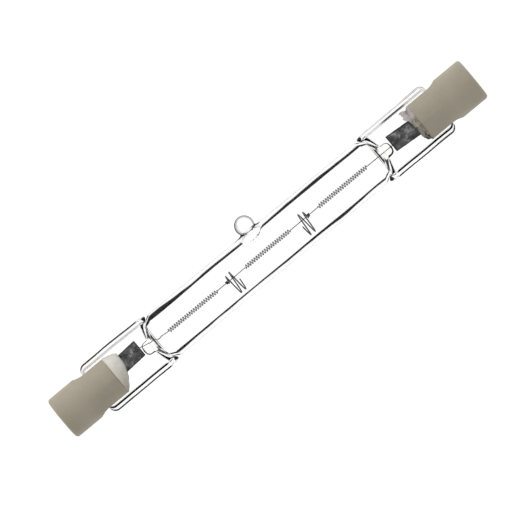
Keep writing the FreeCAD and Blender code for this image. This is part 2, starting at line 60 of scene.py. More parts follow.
# %% Find the axis and the roll
MM = 0.001
cap_low, cap_high = (np.array(corner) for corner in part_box("ceramic_cap_right"))
axis_y, axis_z = ((cap_low + cap_high) / 2)[1:]
foil_points = np.array([v.co for v in nodes["seal_foil_right"].data.vertices])[:, 1:]
spread = np.linalg.eigh(np.cov((foil_points - foil_points.mean(0)).T))[1][:, 1]
ROLL = math.atan(-spread[1] / spread[0])
LAMP_TO_ROW = Matrix.Translation((0, axis_y, axis_z)) @ Matrix.Rotation(-ROLL, 4, "X")
print(f"axis at y {axis_y / MM:.2f} mm, z {axis_z / MM:.2f} mm, roll {math.degrees(ROLL):.2f} degrees")

# %% Read the main sizes from the frame, in millimetres
CAP_MOUTH = cap_low[0] / MM
CAP_END = cap_high[0] / MM
CAP_RADIUS = (cap_high[1] - cap_low[1]) / 2 / MM
quartz_low, quartz_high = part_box("quartz_envelope")
TUBE_RADIUS = (quartz_high.z - quartz_low.z) / 2 / MM
PINCH_END = quartz_high.x / MM
foil_low, foil_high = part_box("seal_foil_right")
FOIL_START = foil_low.x / MM
FOIL_END = foil_high.x / MM
contact_low, contact_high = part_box("end_contact_right")
CONTACT_FACE = contact_high.x / MM
SLOT_END = contact_low.x / MM
print(f"tube radius {TUBE_RADIUS:.2f}, cap {CAP_MOUTH:.2f} to {CAP_END:.2f}, pinch to {PINCH_END:.2f}")

# %% [markdown]
# ## Shader maths in plain Python
# A finish is a small web of nodes. Wiring Math nodes one by one is hard to read, so one class
# wraps a socket and lets Python's own operators add the Math nodes. Its one other method adds any
# other node: settings first, then the values or links of its sockets.

# %% A socket that can stand in a sum


class Value:
    """A node's output that takes part in sums; each sum adds its Math node."""

    def __init__(self, tree, socket):
        self.tree = tree
        self.socket = socket

    @classmethod
    def node(cls, tree, kind, settings=None, sockets=None, out=0):
        """Add any node, its settings first and then its sockets, and return one of its outputs."""
        made = tree.nodes.new(kind)
        for name, setting in (settings or {}).items():
            if name == "stops":
                elements = made.color_ramp.elements
                while len(elements) < len(setting):
                    elements.new(1.0)
                for element, (place, colour) in zip(elements, setting):
                    element.position = place
                    element.color = colour
            else:
                setattr(made, name, setting)
        for name, given in (sockets or {}).items():
            if isinstance(given, Value):
                tree.links.new(given.socket, made.inputs[name])
            else:
                made.inputs[name].default_value = given
        return cls(tree, made.outputs[out])

    def sum(self, operation, first, second=0.0, third=0.0):
        """Add a Math node."""
        sockets = {0: first, 1: second, 2: third}
        return Value.node(self.tree, "ShaderNodeMath", {"operation": operation}, sockets)

    def __add__(self, other):
        return self.sum("ADD", self, other)

    def __radd__(self, other):
        return self.sum("ADD", other, self)

    def __sub__(self, other):
        return self.sum("SUBTRACT", self, other)

    def __rsub__(self, other):
        return self.sum("SUBTRACT", other, self)

    def __mul__(self, other):
        return self.sum("MULTIPLY", self, other)

    def __rmul__(self, other):
        return self.sum("MULTIPLY", other, self)

    def __truediv__(self, other):
        return self.sum("DIVIDE", self, other)

    def __rtruediv__(self, other):
        return self.sum("DIVIDE", other, self)

    def wave(self, kind):
        """The sine or cosine of an angle."""
        return self.sum(kind, self)

    def between(self, low, high):
        """A smooth step from 0 at low to 1 at high."""
        settings = {"interpolation_type": "SMOOTHSTEP"}
        sockets = {"Value": self, "From Min": low, "From Max": high}
        return Value.node(self.tree, "ShaderNodeMapRange", settings, sockets)


print("a socket can now stand in a sum")

# %% Small helpers for finishes
NOISE_MIDDLE = 0.5


def new_finish(name):
    """An empty material, its node tree and its output node."""
    material = bpy.data.materials.new(name)
    material.use_nodes = True
    material.node_tree.nodes.clear()
    tree = material.node_tree
    return material, tree, tree.nodes.new("ShaderNodeOutputMaterial")


def object_noise(tree, scale, detail=3.0, stretch=(1.0, 1.0, 1.0)):
    """Cloudy noise fixed to the piece, its scale in clouds per metre."""
    place = Value.node(tree, "ShaderNodeTexCoord", out="Object")
    turned = Value.node(tree, "ShaderNodeMapping", sockets={"Vector": place, "Scale": stretch})
    sockets = {"Vector": turned, "Scale": scale, "Detail": detail}
    return Value.node(tree, "ShaderNodeTexNoise", {"noise_dimensions": "3D"}, sockets)


def colour_ramp(tree, factor, stops):
    """A colour picked from stops of place and linear red, green and blue."""
    full = [(place, (*colour, 1.0)) for place, colour in stops]
    return Value.node(tree, "ShaderNodeValToRGB", {"stops": full}, {"Fac": factor})


def colour_mix(tree, share, first, second):
    """The first colour, and the second by its share; a Mix node numbers its colours 6 and 7."""
    sockets = {0: share, 6: first, 7: second}
    return Value.node(tree, "ShaderNodeMix", {"data_type": "RGBA"}, sockets, out=2)


def shader_mix(tree, share, first, second):
    """The first shader, and the second by its share."""
    return Value.node(tree, "ShaderNodeMixShader", sockets={0: share, 1: first, 2: second})


def surface_bump(tree, height, strength, distance):
    """A bump for a shader's Normal, its distance in metres."""
    sockets = {"Height": height, "Strength": strength, "Distance": distance}
    return Value.node(tree, "ShaderNodeBump", sockets=sockets)


def point_value(tree, name):
    """A number that the mesh carries at its points."""
    return Value.node(tree, "ShaderNodeAttribute", {"attribute_name": name}, out="Fac")


def finish_with(tree, output, shader):
    """Link the last shader to the material's output."""
    tree.links.new(shader.socket, output.inputs["Surface"])


print("helpers for finishes ready")

# %% [markdown]
# ## Quartz
# Clear quartz is almost invisible on a pale ground: what draws it are thin dark lines where the
# light turns away. They sit where the bore's wall starts to mirror, near the critical angle, and
# at the outer edges, seen almost edge-on. A studio would hold black cards beside the lamp to get
# such lines. Here a Layer Weight node finds the same places from every side, and a near-black
# shader is mixed in there. Two point attributes say how wide and how dark the line is on each
# part, set to follow the photograph. Part of the mirror image on the outside is left out,
# as a polarising filter on the camera would, so that the lines stay black. Light from the studio
# lamp passes straight through, by a Transparent shader for shadow rays, so the floor stays pale.

# %% Clear quartz with room for painted dark lines
QUARTZ_IOR = 1.458
MIRROR_SHARE = 0.35
GRAZING = (0.70, 0.88)
PAINTED_EDGE_SHADE = (0.006, 0.006, 0.007, 1.0)


def inside_glass(tree):
    """1 where a ray meets the surface from inside the glass."""
    return Value.node(tree, "ShaderNodeNewGeometry", out="Backfacing")


def quartz_finish(name, line_of):
    """Clear quartz with painted dark lines where line_of says, from the tree and the facing weight."""
    material, tree, output = new_finish(name)
    pure = {"Color": (1.0, 1.0, 1.0, 1.0), "Roughness": 0.0, "IOR": QUARTZ_IOR}
    shiny = Value.node(tree, "ShaderNodeBsdfGlass", {"distribution": "GGX"}, pure)
    filtered = Value.node(tree, "ShaderNodeBsdfRefraction", {"distribution": "GGX"}, pure)
    facing = Value.node(tree, "ShaderNodeLayerWeight", sockets={"Blend": 0.5}, out="Facing")
    inside = inside_glass(tree)
    full_mirror = inside.sum("MAXIMUM", inside, facing.between(*GRAZING))
    clear = shader_mix(tree, MIRROR_SHARE + full_mirror * (1 - MIRROR_SHARE), filtered, shiny)
    # A near-black diffuse shader: the painted shade of the glass's dark lines.
    ink = Value.node(tree, "ShaderNodeBsdfDiffuse", sockets={"Color": PAINTED_EDGE_SHADE})
    lined = shader_mix(tree, line_of(tree, facing), clear, ink)
    through = Value.node(tree, "ShaderNodeBsdfTransparent")
    shadow = Value.node(tree, "ShaderNodeLightPath", out="Is Shadow Ray")
    finish_with(tree, output, shader_mix(tree, shadow, lined, through))
    return material


print(f"clear quartz with an index of {QUARTZ_IOR}")

# %% The painted dark lines of the bore and of the outer edges
BORE_LINE_START = (0.235, 0.255)
BORE_LINE_END = (0.33, 0.38)
WIDER_START = 0.045
WIDER_END = 0.08
UNSTEADY = 0.16
UNSTEADY_CLOUDS = 90
UNSTEADY_STRETCH = (1.0, 0.3, 0.3)
OUTER_LINE_START = 0.70
OUTER_LINE_BLEND = 0.12
WIDER_OUTER = 0.58
FAINTEST_EDGE = 0.12


def bore_line(tree, facing):
    """Painted dark shade, seen from inside the glass, round the critical angle of the bore's wall."""
    width = point_value(tree, "line")
    clouds = object_noise(tree, UNSTEADY_CLOUDS, detail=2.0, stretch=UNSTEADY_STRETCH)
    rise = (facing + width * WIDER_START).between(*BORE_LINE_START)
    end = facing - width * WIDER_END - (clouds - NOISE_MIDDLE) * UNSTEADY
    return inside_glass(tree) * point_value(tree, "ink") * rise * (1 - end.between(*BORE_LINE_END))


def outer_line(tree, facing):
    """Painted grey shade along the outer edges, darker on the pinches and the tip than on the tube."""
    width = point_value(tree, "line")
    start = OUTER_LINE_START - width * WIDER_OUTER
    strength = FAINTEST_EDGE + width * (1 - FAINTEST_EDGE)
    edge = (facing - start).between(0.0, OUTER_LINE_BLEND) * strength
    return (1 - inside_glass(tree)) * point_value(tree, "ink") * edge


quartz = quartz_finish("quartz_outer", outer_line)
quartz_bore = quartz_finish("quartz_bore", bore_line)
print("finishes:", quartz.name, quartz_bore.name)

# %% [markdown]
# ## Wire, foil, contacts
# Tungsten wire is drawn and then fired, so it is dark with a dull gleam; the thin wire of the coil
# is a little lighter than the springs. Molybdenum foil is rolled very thin and etched at its
# edges; the hot press leaves it crinkled, so its grey changes from spot to spot. The contacts are
# plated metal with fine turning marks.

# %% The wire and contact finishes
METAL_DRIFT = (0.35, 0.68)
FINER = 6
FINE_ROUGHNESS = 0.25
FINE_BUMP = 0.4
TURNING_MARKS = (6.0, 1.0, 1.0)


def metal_finish(name, dark, light, scale, roughness, bump, metallic=1.0, stretch=(1.0, 1.0, 1.0)):
    """Metal whose grey drifts between two colours, with a roughness and bump to suit."""
    material, tree, output = new_finish(name)
    drift = object_noise(tree, scale, detail=4.0, stretch=stretch)
    fine = object_noise(tree, scale * FINER, detail=2.0, stretch=stretch)
    shader = Value.node(tree, "ShaderNodeBsdfPrincipled", sockets={
        "Base Color": colour_ramp(tree, drift, list(zip(METAL_DRIFT, (dark, light)))),
        "Metallic": metallic,
        "Roughness": roughness + (fine - NOISE_MIDDLE) * FINE_ROUGHNESS,
        "Normal": surface_bump(tree, fine, FINE_BUMP, bump),
    })
    finish_with(tree, output, shader)
    return material


tungsten = metal_finish(
    "tungsten_spring", dark=(0.008, 0.008, 0.008), light=(0.03, 0.029, 0.028),
    scale=900, roughness=0.5, bump=0.00002, metallic=0.4,
)
coil_metal = metal_finish(
    "tungsten_coil", dark=(0.03, 0.03, 0.03), light=(0.1, 0.1, 0.1),
    scale=900, roughness=0.4, bump=0.00001, metallic=0.6,
)
lead_metal = metal_finish(
    "molybdenum_lead", dark=(0.12, 0.12, 0.12), light=(0.26, 0.26, 0.25),
    scale=700, roughness=0.45, bump=0.00003,
)
contact_metal = metal_finish(
    "plated_contact", dark=(0.42, 0.40, 0.36), light=(0.62, 0.59, 0.53),
    scale=900, roughness=0.30, bump=0.00001, stretch=TURNING_MARKS,
)
print("finishes:", tungsten.name, coil_metal.name, lead_metal.name, contact_metal.name)

# %% The foil's finish
FOIL_CLOUDS = 650
FOIL_SPECKS = 2300
FOIL_GREYS = [(0.34, (0.06, 0.06, 0.062)), (0.66, (0.22, 0.22, 0.225))]
CLOUD_SHARE = 0.55
GLINT = (0.545, 0.63)
GLINT_SHARE = 0.8
GLINT_GREY = (0.50, 0.50, 0.50, 1.0)
RIM_GREY = (0.004, 0.004, 0.004, 1.0)
FOIL_ROUGHNESS = 0.62
GLINT_GLOSS = 0.2


def foil_finish():
    """Etched foil in glass: dark grey with pale crinkles, a few painted glints of light and a dark
    rim.
    """
    material, tree, output = new_finish("molybdenum_foil")
    clouds = object_noise(tree, FOIL_CLOUDS, detail=5.0)
    specks = object_noise(tree, FOIL_SPECKS, detail=2.0)
    # The glints are painted highlights: a bright grey mixed into the base colour.
    glint = (clouds * CLOUD_SHARE + specks * (1 - CLOUD_SHARE)).between(*GLINT)
    greys = colour_ramp(tree, clouds, FOIL_GREYS)
    bright = colour_mix(tree, glint * GLINT_SHARE, greys, GLINT_GREY)
    shader = Value.node(tree, "ShaderNodeBsdfPrincipled", sockets={
        "Base Color": colour_mix(tree, point_value(tree, "rim"), bright, RIM_GREY),
        "Metallic": 0.1,
        "Specular IOR Level": 0.2,
        "Roughness": FOIL_ROUGHNESS - glint * GLINT_GLOSS,
        "Normal": surface_bump(tree, clouds, strength=0.5, distance=0.0001),
    })
    finish_with(tree, output, shader)
    return material


foil_metal = foil_finish()
print("finish:", foil_metal.name)

# %% [markdown]
# ## Ceramic and cement
# The caps are pressed steatite, unglazed: a warm grey, faintly mottled, with a fine grain that
# only shows as roughness. The cement is paler and coarser. Both get their grain from noise in
# object space, so the pattern stays with the piece.

# %% The ceramic finishes
MOTTLE_CLOUDS = 160
MOTTLE_SHARE = 0.7
SHADE_SHARE = 0.5
GRAIN_ROUGHNESS = 0.3
GRAIN_BUMP = 0.35


def ceramic_finish(name, stops, grain_scale, grain_depth, roughness, in_shade=None):
    """Matt ceramic; where the mesh says so, it takes darker colours as painted shade."""
    material, tree, output = new_finish(name)
    mottle = object_noise(tree, MOTTLE_CLOUDS, detail=4.0)
    grain = object_noise(tree, grain_scale, detail=3.0)

    def mottled(share, colours):
        return colour_ramp(tree, mottle * share + grain * (1 - share), colours)

    colour = mottled(MOTTLE_SHARE, stops)
    if in_shade:
        # Where the mesh asks for it, darker colours are mixed in as painted shade.
        colour = colour_mix(tree, point_value(tree, "stain"), colour, mottled(SHADE_SHARE, in_shade))
    shader = Value.node(tree, "ShaderNodeBsdfPrincipled", sockets={
        "Base Color": colour,
        "Roughness": roughness + (grain - NOISE_MIDDLE) * GRAIN_ROUGHNESS,
        "Specular IOR Level": 0.25,
        "Normal": surface_bump(tree, grain, GRAIN_BUMP, grain_depth),
    })
    finish_with(tree, output, shader)
    return material


steatite = ceramic_finish(
    "pressed_steatite", [(0.34, (0.385, 0.345, 0.265)), (0.66, (0.45, 0.405, 0.32))],
    grain_scale=2600, grain_depth=0.00004, roughness=0.62,
)
# Both cements take darker colours as painted shade, on the side away from the exhaust tip and inside
# the slot.
cement_grey = ceramic_finish(
    "set_cement", [(0.34, (0.78, 0.75, 0.68)), (0.66, (0.92, 0.90, 0.84))],
    grain_scale=1500, grain_depth=0.00008, roughness=0.8,
    in_shade=[(0.34, (0.40, 0.365, 0.285)), (0.66, (0.50, 0.46, 0.37))],
)
cement_brown = ceramic_finish(
    "cement_with_painted_shade", [(0.36, (0.52, 0.475, 0.465)), (0.62, (0.80, 0.745, 0.735))],
    grain_scale=1500, grain_depth=0.00012, roughness=0.8,
    in_shade=[
        (0.42, (0.03, 0.027, 0.022)), (0.46, (0.21, 0.185, 0.14)),
        (0.66, (0.55, 0.51, 0.44)), (1.0, (1.0, 1.0, 1.0)),
    ],
)
print("finishes:", steatite.name, cement_grey.name, cement_brown.name)

# %% [markdown]
# ## Turning a mesh into a piece of the lamp
# Every piece is drawn in millimetres in the lamp's own frame. One helper scales it, turns it into
# the row's frame and leaves the object itself at the origin, as the CAD nodes are. It also says
# which CAD node the piece stands for and which body carries it.

# %% Put a piece in place
SIDES = (("left", -1), ("right", 1))
IN_ROW = LAMP_TO_ROW @ Matrix.Scale(MM, 4)


def mesh_from(name, points, faces, smooth=True):
    """A mesh from points in millimetres and faces as lists of point numbers."""
    mesh = bpy.data.meshes.new(name)
    mesh.from_pydata([tuple(point) for point in points], [], faces)
    mesh.polygons.foreach_set("use_smooth", [smooth] * len(mesh.polygons))
    mesh.update()
    return mesh


def add_object(name, data):
    """Add an object to the scene."""
    made = bpy.data.objects.new(name, data)
    bpy.context.scene.collection.objects.link(made)
    return made


def add_piece(mesh, node, slot, *materials):
    """Put a mesh in place as the piece that stands for a CAD node."""
    mesh.transform(IN_ROW)
    for material in materials:
        if material.name not in mesh.materials:
            mesh.materials.append(material)
    piece = add_object(mesh.name, mesh)
    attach(piece, "root")
    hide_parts(node)
    triangles = sum(len(face.vertices) - 2 for face in mesh.polygons)
    print(f"{piece.name}: {triangles} triangles in place of {node}")
    return piece


def carry(mesh, name, values):
    """Let a mesh carry a number at each of its points, for its finish to read."""
    mesh.attributes.new(name, "FLOAT", "POINT").data.foreach_set("value", values)


print("ready to put pieces in place")

# %% Close rings of points into a skin


def ring_faces(first, second, count, flip=False):
    """Quads between two rings of points, given by their first point numbers."""
    faces = []
    for i in range(count):
        n = (i + 1) % count
        quad = [first + i, first + n, second + n, second + i]
        faces.append(quad[::-1] if flip else quad)
    return faces


def zip_faces(first, count, flip=False):
    """Close a ring that is the same above and below by strips across it."""
    faces = []
    for i in range(count // 2):
        a, b = first + i, first + i + 1
        c, d = first + (count - i - 1) % count, first + (count - i) % count
        quad = [a, b, c, d]
        face = [point for k, point in enumerate(quad) if point not in quad[:k]]
        if len(face) > 2:
            faces.append(face[::-1] if flip else face)
    return faces


def skin_faces(first, rings, count, inward=False):
    """A closed skin over rings that follow each other, facing outwards or into a hollow."""
    faces = zip_faces(first, count, flip=not inward)
    for i in range(rings - 1):
        faces += ring_faces(first + i * count, first + (i + 1) * count, count, flip=inward)
    return faces + zip_faces(first + (rings - 1) * count, count, flip=inward)


print("skin helpers ready")

# %% Soft steps, and measures round a ring and along a path


def eased(t):
    """A soft step from 0 to 1 while t goes from 0 to 1."""
    t = np.clip(t, 0.0, 1.0)
    return t * t * (3 - 2 * t)


def ramp(value, start, length):
    """A soft step from 0 at start to 1 a length further on."""
    return eased((value - start) / length)


def full_turn(count):
    """Even angles round a ring."""
    return 2 * math.pi * np.arange(count) / count


def length_along(path):
    """How far along a path each of its points lies."""
    return np.r_[0, np.cumsum(np.linalg.norm(np.diff(path, axis=0), axis=1))]


def points_at(steps, length, path):
    """The points of a path at some steps, counted in its length."""
    return np.c_[tuple(np.interp(steps, length, column) for column in path.T)]


print("measures ready")

# %% [markdown]
# ## The quartz envelope
# A quartz tube is heated at its ends and pressed flat between jaws, which leaves a thin web with
# a thick bead along each edge. Its side carries the stub of the tube through which it was
# filled. The shape follows a rule, so it is lofted: at each station along the axis a ring of
# points is drawn, a circle in the middle and the pressed section at the ends, with an eased
# blend between them. Stations stand closer where the shape turns.

# %% The pressed section
AROUND = 192
BORE_AROUND = 128
CORNER_STEPS = 16
FINE_STEPS = 4096
BORE_RADIUS = 4.55
PINCH_HALF_WIDTH = 6.4
WEB_HALF = 1.3
BEAD_HALF = 2.1
BEAD_WIDTH = 0.9
BEAD_SLOPE = 0.42
BEAD_ROUND = 0.7
SECTION_SOFTNESS = 0.09
SLOPE_MARGIN = 0.1


def pinch_section(count):
    """Points round the pressed section at even steps, from the +Y edge over the top."""
    turn = np.linspace(0, math.pi / 2, CORNER_STEPS)
    centre_y = PINCH_HALF_WIDTH - BEAD_ROUND
    centre_z = BEAD_HALF - BEAD_ROUND
    corner = np.c_[centre_y + BEAD_ROUND * np.cos(turn), centre_z + BEAD_ROUND * np.sin(turn)]
    inner = PINCH_HALF_WIDTH - BEAD_WIDTH
    quarter = np.vstack([
        [[PINCH_HALF_WIDTH, 0.0]],
        corner,
        [[inner, BEAD_HALF], [inner - BEAD_SLOPE, WEB_HALF], [0.0, WEB_HALF]],
    ])
    half = np.vstack([quarter, quarter[-2::-1] * [-1, 1]])
    outline = np.vstack([half, half[-2:0:-1] * [1, -1]])
    closed = np.vstack([outline, outline[:1]])
    length = length_along(closed)
    steps = np.arange(FINE_STEPS) * length[-1] / FINE_STEPS
    even = points_at(steps, length, closed)
    waves = np.fft.fftfreq(FINE_STEPS, length[-1] / FINE_STEPS)
    soften = np.exp(-2 * (math.pi * waves * SECTION_SOFTNESS) ** 2)[:, None]
    soft = np.real(np.fft.ifft(np.fft.fft(even, axis=0) * soften, axis=0))
    return soft[np.arange(count) * FINE_STEPS // count]


def drawn_edges(section):
    """Where the painted edge lines widen: 1 on the section's rounded edges and on the slopes beside
    its web, 0 elsewhere.
    """
    across, height = np.abs(section).T
    rounds = (across > PINCH_HALF_WIDTH - BEAD_ROUND) & (height > BEAD_HALF - BEAD_ROUND)
    foot = PINCH_HALF_WIDTH - BEAD_WIDTH
    slopes = (across > foot - BEAD_SLOPE - SLOPE_MARGIN) & (across < foot + SLOPE_MARGIN)
    return np.where(rounds | slopes, 1.0, 0.0)


SECTION = pinch_section(AROUND)
DRAWN = drawn_edges(SECTION)
print(f"pressed section: {np.ptp(SECTION[:, 0]):.2f} by {np.ptp(SECTION[:, 1]):.2f} mm")

# %% Stations along the tube
TIP_X = -0.7
TIP_PATCH = 3.3
TIP_STEP = 0.11
TUBE_STEP = 1.2
END_FROM = 28.8
END_SPANS = [(END_FROM, 34.6, 0.1), (34.6, 47.0, 0.8), (47.0, 48.6, 0.2), (48.6, PINCH_END, 0.045)]


def stations(*spans):
    """Places along the axis, from spans of start, end and about the step; no place comes twice."""
    places = [
        np.linspace(start, end, round((end - start) / step), endpoint=False)
        for start, end, step in spans
    ]
    return np.concatenate(places + [[spans[-1][1]]])


tip_low, tip_high = TIP_X - TIP_PATCH, TIP_X + TIP_PATCH
right_outer = stations((tip_high, END_FROM, TUBE_STEP), *END_SPANS)
left_outer = -stations((-tip_low, END_FROM, TUBE_STEP), *END_SPANS)[::-1]
tip_places = stations((tip_low, tip_high, TIP_STEP))[1:-1]
OUTER_X = np.concatenate([left_outer, tip_places, right_outer])
print(f"{len(OUTER_X)} outer stations")

# %% Rings of the outer surface
SHOULDER_START = 29.2
SHOULDER_LENGTH = 2.9
SHOULDER_BOW = 1.7
BOW_AT_START = 0.9
LINES_FROM = 0.92
LINES_BLEND = 0.25
PINCH_CORNER = 1.6
END_ROUND = 0.45
EDGE_WAVER = 0.02
WAVER_SCALE = 0.16
WAVER_SEEDS = ((4.0, 1.5), (4.0, 6.5))
FACE_RIPPLE = 0.018
RIPPLE_SCALE = (0.32, 0.4)
RIPPLE_SEED = 7.5


def drawn_in(past, radius):
    """How far a rounded corner has drawn in, a distance past the start of its round."""
    return radius - math.sqrt(max(radius**2 - max(past, 0) ** 2, 0))


def outer_ring(x):
    """The ring of points at one station, as Y and Z, and how wide its painted dark lines are."""
    turn = full_turn(AROUND)
    tube = TUBE_RADIUS * np.c_[np.cos(turn), np.sin(turn)]
    bow = np.sin(turn) ** 2
    start = SHOULDER_START + BOW_AT_START * bow
    way = (abs(x) - start) / (SHOULDER_LENGTH + (SHOULDER_BOW - BOW_AT_START) * bow)
    plate = SECTION.copy()
    waver = [noise.noise((x * WAVER_SCALE, *seed)) for seed in WAVER_SEEDS]
    plate[:, 0] *= 1 + EDGE_WAVER * np.where(plate[:, 0] > 0, *waver)
    corner = drawn_in(abs(x) - (PINCH_END - PINCH_CORNER), PINCH_CORNER)
    rim = drawn_in(abs(x) - (PINCH_END - END_ROUND), END_ROUND)
    plate *= [1 - corner / PINCH_HALF_WIDTH, 1 - rim / BEAD_HALF]
    ripple = [
        noise.noise((x * RIPPLE_SCALE[0], y * RIPPLE_SCALE[1], RIPPLE_SEED + z)) for y, z in plate
    ]
    plate[:, 1] *= 1 + FACE_RIPPLE * np.array(ripple)
    return tube + (plate - tube) * eased(way)[:, None], DRAWN * ramp(way, LINES_FROM, LINES_BLEND)


outer_points, outer_width = [], []
for x in OUTER_X:
    ring, width = outer_ring(x)
    outer_points.append(np.c_[np.full(AROUND, x), ring])
    outer_width.append(width)
outer_points = np.vstack(outer_points)
outer_width = np.concatenate(outer_width)
print(f"outer surface: {len(outer_points)} points")

# %% How dark the painted outer lines are
END_SHADE_FROM = 28.0
SLOPE_OUTSIDE = 5.75
LEFT_SLOPE_SHADE = 0.3
RIGHT_SHADE = 0.2
MOUTH_SHADE = 0.7
MOUTH_SHADE_RISE = (36.0, 2.0)
MOUTH_SHADE_FALL = (CAP_MOUTH - 1.0, 1.5)


def edge_painted_shade(points):
    """How dark the painted lines are: as in the photograph, paler on the tip's side of the pinches."""
    x, y = points[:, 0], points[:, 1]
    on_slope = y < SLOPE_OUTSIDE
    near_mouth = ramp(x, *MOUTH_SHADE_RISE) * (1 - ramp(x, *MOUTH_SHADE_FALL))
    left = np.where(on_slope, LEFT_SLOPE_SHADE, 1.0)
    right = np.where(on_slope, RIGHT_SHADE + MOUTH_SHADE * near_mouth, RIGHT_SHADE)
    paler = (y > 0) & (np.abs(x) > END_SHADE_FROM)
    return np.where(paler, np.where(x > 0, right, left), 1.0)


outer_painted_shade = edge_painted_shade(outer_points)
print(f"ink from {outer_painted_shade.min():.2f} to {outer_painted_shade.max():.2f}")

# %% The exhaust tip
DOME_STEPS = 40
FLARE_STEPS = 30
TIP_BALL = {"radius": 2.25, "ball": 7.25, "top": 9.5, "neck": 2.0}
TIP_LINE = 0.68
TIP_LINE_GROWTH = 0.35
TIP_LINE_REACH = 2.2
TIP_FADE = 0.85
TIP_FADE_FROM = 0.35
TIP_FADE_REACH = 1.6


def tip_profile(patch, wall, radius, ball, top, neck):
    """The tip's outline from its top to its foot: distance out, height and share of the wall."""
    dome = np.linspace(0, math.pi - math.asin(neck / radius), DOME_STEPS)
    flare = np.linspace(0, math.pi / 2, FLARE_STEPS)
    rise = ball + (top - ball) * np.cos(dome)
    out = np.r_[radius * np.sin(dome), patch - (patch - neck) * np.cos(flare)]
    height = np.r_[rise, rise[-1] - (rise[-1] - wall) * np.sin(flare)]
    share = np.r_[np.zeros(len(dome)), np.sin(flare)]
    length = length_along(np.c_[out, height])
    return length / length[-1], out, height, share


def raise_tip(points, patch, wall, sizes):
    """Move the points near the tip's axis onto the tip's outline and say which they are."""
    places, out, height, share = tip_profile(patch, wall, **sizes)
    along = points[:, 0] - TIP_X
    round_way = wall * np.arctan2(points[:, 2], points[:, 1])
    far = np.hypot(along, round_way)
    near = (far < patch) & (points[:, 1] > 0)
    t = far[near] / patch
    heading = np.arctan2(round_way[near], along[near])
    reach = np.interp(t, places, out)
    side = reach * np.sin(heading)
    sink = wall - np.sqrt(wall**2 - side**2)
    points[near, 0] = TIP_X + reach * np.cos(heading)
    points[near, 2] = side
    points[near, 1] = np.interp(t, places, height) - sink * np.interp(t, places, share)
    return near


on_tip = raise_tip(outer_points, TIP_PATCH, TUBE_RADIUS, TIP_BALL)
tip_x, tip_y, tip_z = outer_points[on_tip].T
# On the tip the painted dark line widens towards -X and grows paler away from its middle plane.
outer_width[on_tip] = TIP_LINE + TIP_LINE_GROWTH * ramp(TIP_X - tip_x, 0, TIP_LINE_REACH)
outer_painted_shade[on_tip] = 1 - TIP_FADE * ramp(np.abs(tip_z), TIP_FADE_FROM, TIP_FADE_REACH)
print(f"exhaust tip: {on_tip.sum()} points, up to {tip_y.max():.2f} mm from the axis")

# %% [markdown]
# The hollow is drawn the same way: a round bore whose ends close down to a flat canal that runs
# towards the foil, and a funnel under the exhaust tip where the filling tube was sealed off.

# %% Rings of the bore
BORE_END = np.array([
    (28.0, BORE_RADIUS, BORE_RADIUS), (30.4, BORE_RADIUS, 4.5), (31.1, 4.42, 4.2), (31.5, 3.95, 3.6),
    (31.9, 3.1, 2.6), (32.3, 2.3, 1.75), (32.8, 1.8, 1.1), (33.6, 1.66, 0.78), (34.5, 1.6, 0.7),
    (35.05, 1.3, 0.55), (35.3, 0.75, 0.3), (35.4, 0.03, 0.02),
])
BORE_END_STEPS = 72
STRAIGHT_END = 27.0
FUNNEL_PATCH = 3.4
FUNNEL_STEP = 0.13
PATH_STEPS = 1200
PATH_SOFTNESS = 45
BORE_WAVER = 0.018
BORE_WAVER_SCALE = (0.11, 0.8 / BORE_RADIUS)
BORE_WAVER_SEED = 3.3


def smooth_path(knots, count):
    """Points at even steps on a rounded path through knots."""
    length = length_along(knots)
    path = points_at(np.linspace(0, length[-1], PATH_STEPS), length, knots)
    before = 2 * path[0] - path[PATH_SOFTNESS:0:-1]
    after = 2 * path[-1] - path[-2:-PATH_SOFTNESS - 2:-1]
    padded = np.vstack([before, path, after])
    weight = np.hanning(2 * PATH_SOFTNESS + 1)
    weight /= weight.sum()
    soft = np.c_[tuple(np.convolve(column, weight, "valid") for column in padded.T)]
    return soft[np.linspace(0, len(soft) - 1, count).astype(int)]


end_path = smooth_path(BORE_END, BORE_END_STEPS)
funnel_low, funnel_high = TIP_X - FUNNEL_PATCH, TIP_X + FUNNEL_PATCH
straight = np.concatenate([
    stations((-STRAIGHT_END, funnel_low, TUBE_STEP)),
    stations((funnel_low, funnel_high, FUNNEL_STEP))[1:-1],
    stations((funnel_high, STRAIGHT_END, TUBE_STEP)),
])
bore_rings = (
    [(-x, a, c) for x, a, c in end_path[::-1]]
    + [(x, BORE_RADIUS, BORE_RADIUS) for x in straight]
    + [tuple(row) for row in end_path]
)
turn = full_turn(BORE_AROUND)
bore_points = np.vstack([
    np.c_[np.full(BORE_AROUND, x), a * np.cos(turn), c * np.sin(turn)] for x, a, c in bore_rings
])
waver = [
    noise.noise((x * BORE_WAVER_SCALE[0], y * BORE_WAVER_SCALE[1], BORE_WAVER_SEED))
    for x, y in bore_points[:, :2]
]
bore_points[:, 1:] *= 1 + BORE_WAVER * np.array(waver)[:, None]
print(f"bore: {len(bore_points)} points on {len(bore_rings)} rings")

# %% The bore's painted dark lines and the funnel
BORE_WIDTH = {"below": -0.3, "right": -0.1, "left": -0.2, "left growth": 0.5, "end": -0.7}
CANAL_WIDTH = {"below right": 3.0, "below left": 1.8, "above": 0.6}
LEFT_GROWTH = (16, 12)
END_LINES = (30.6, 0.8)
CANAL_LINES = (32.9, 0.5)
OPEN_MIDDLE = 0.7
OPEN_EDGE = (0.8, 1.2)
FUNNEL_BALL = {"radius": 1.4, "ball": 5.4, "top": 6.4, "neck": 1.4}
FUNNEL_FADE_REACH = 1.7


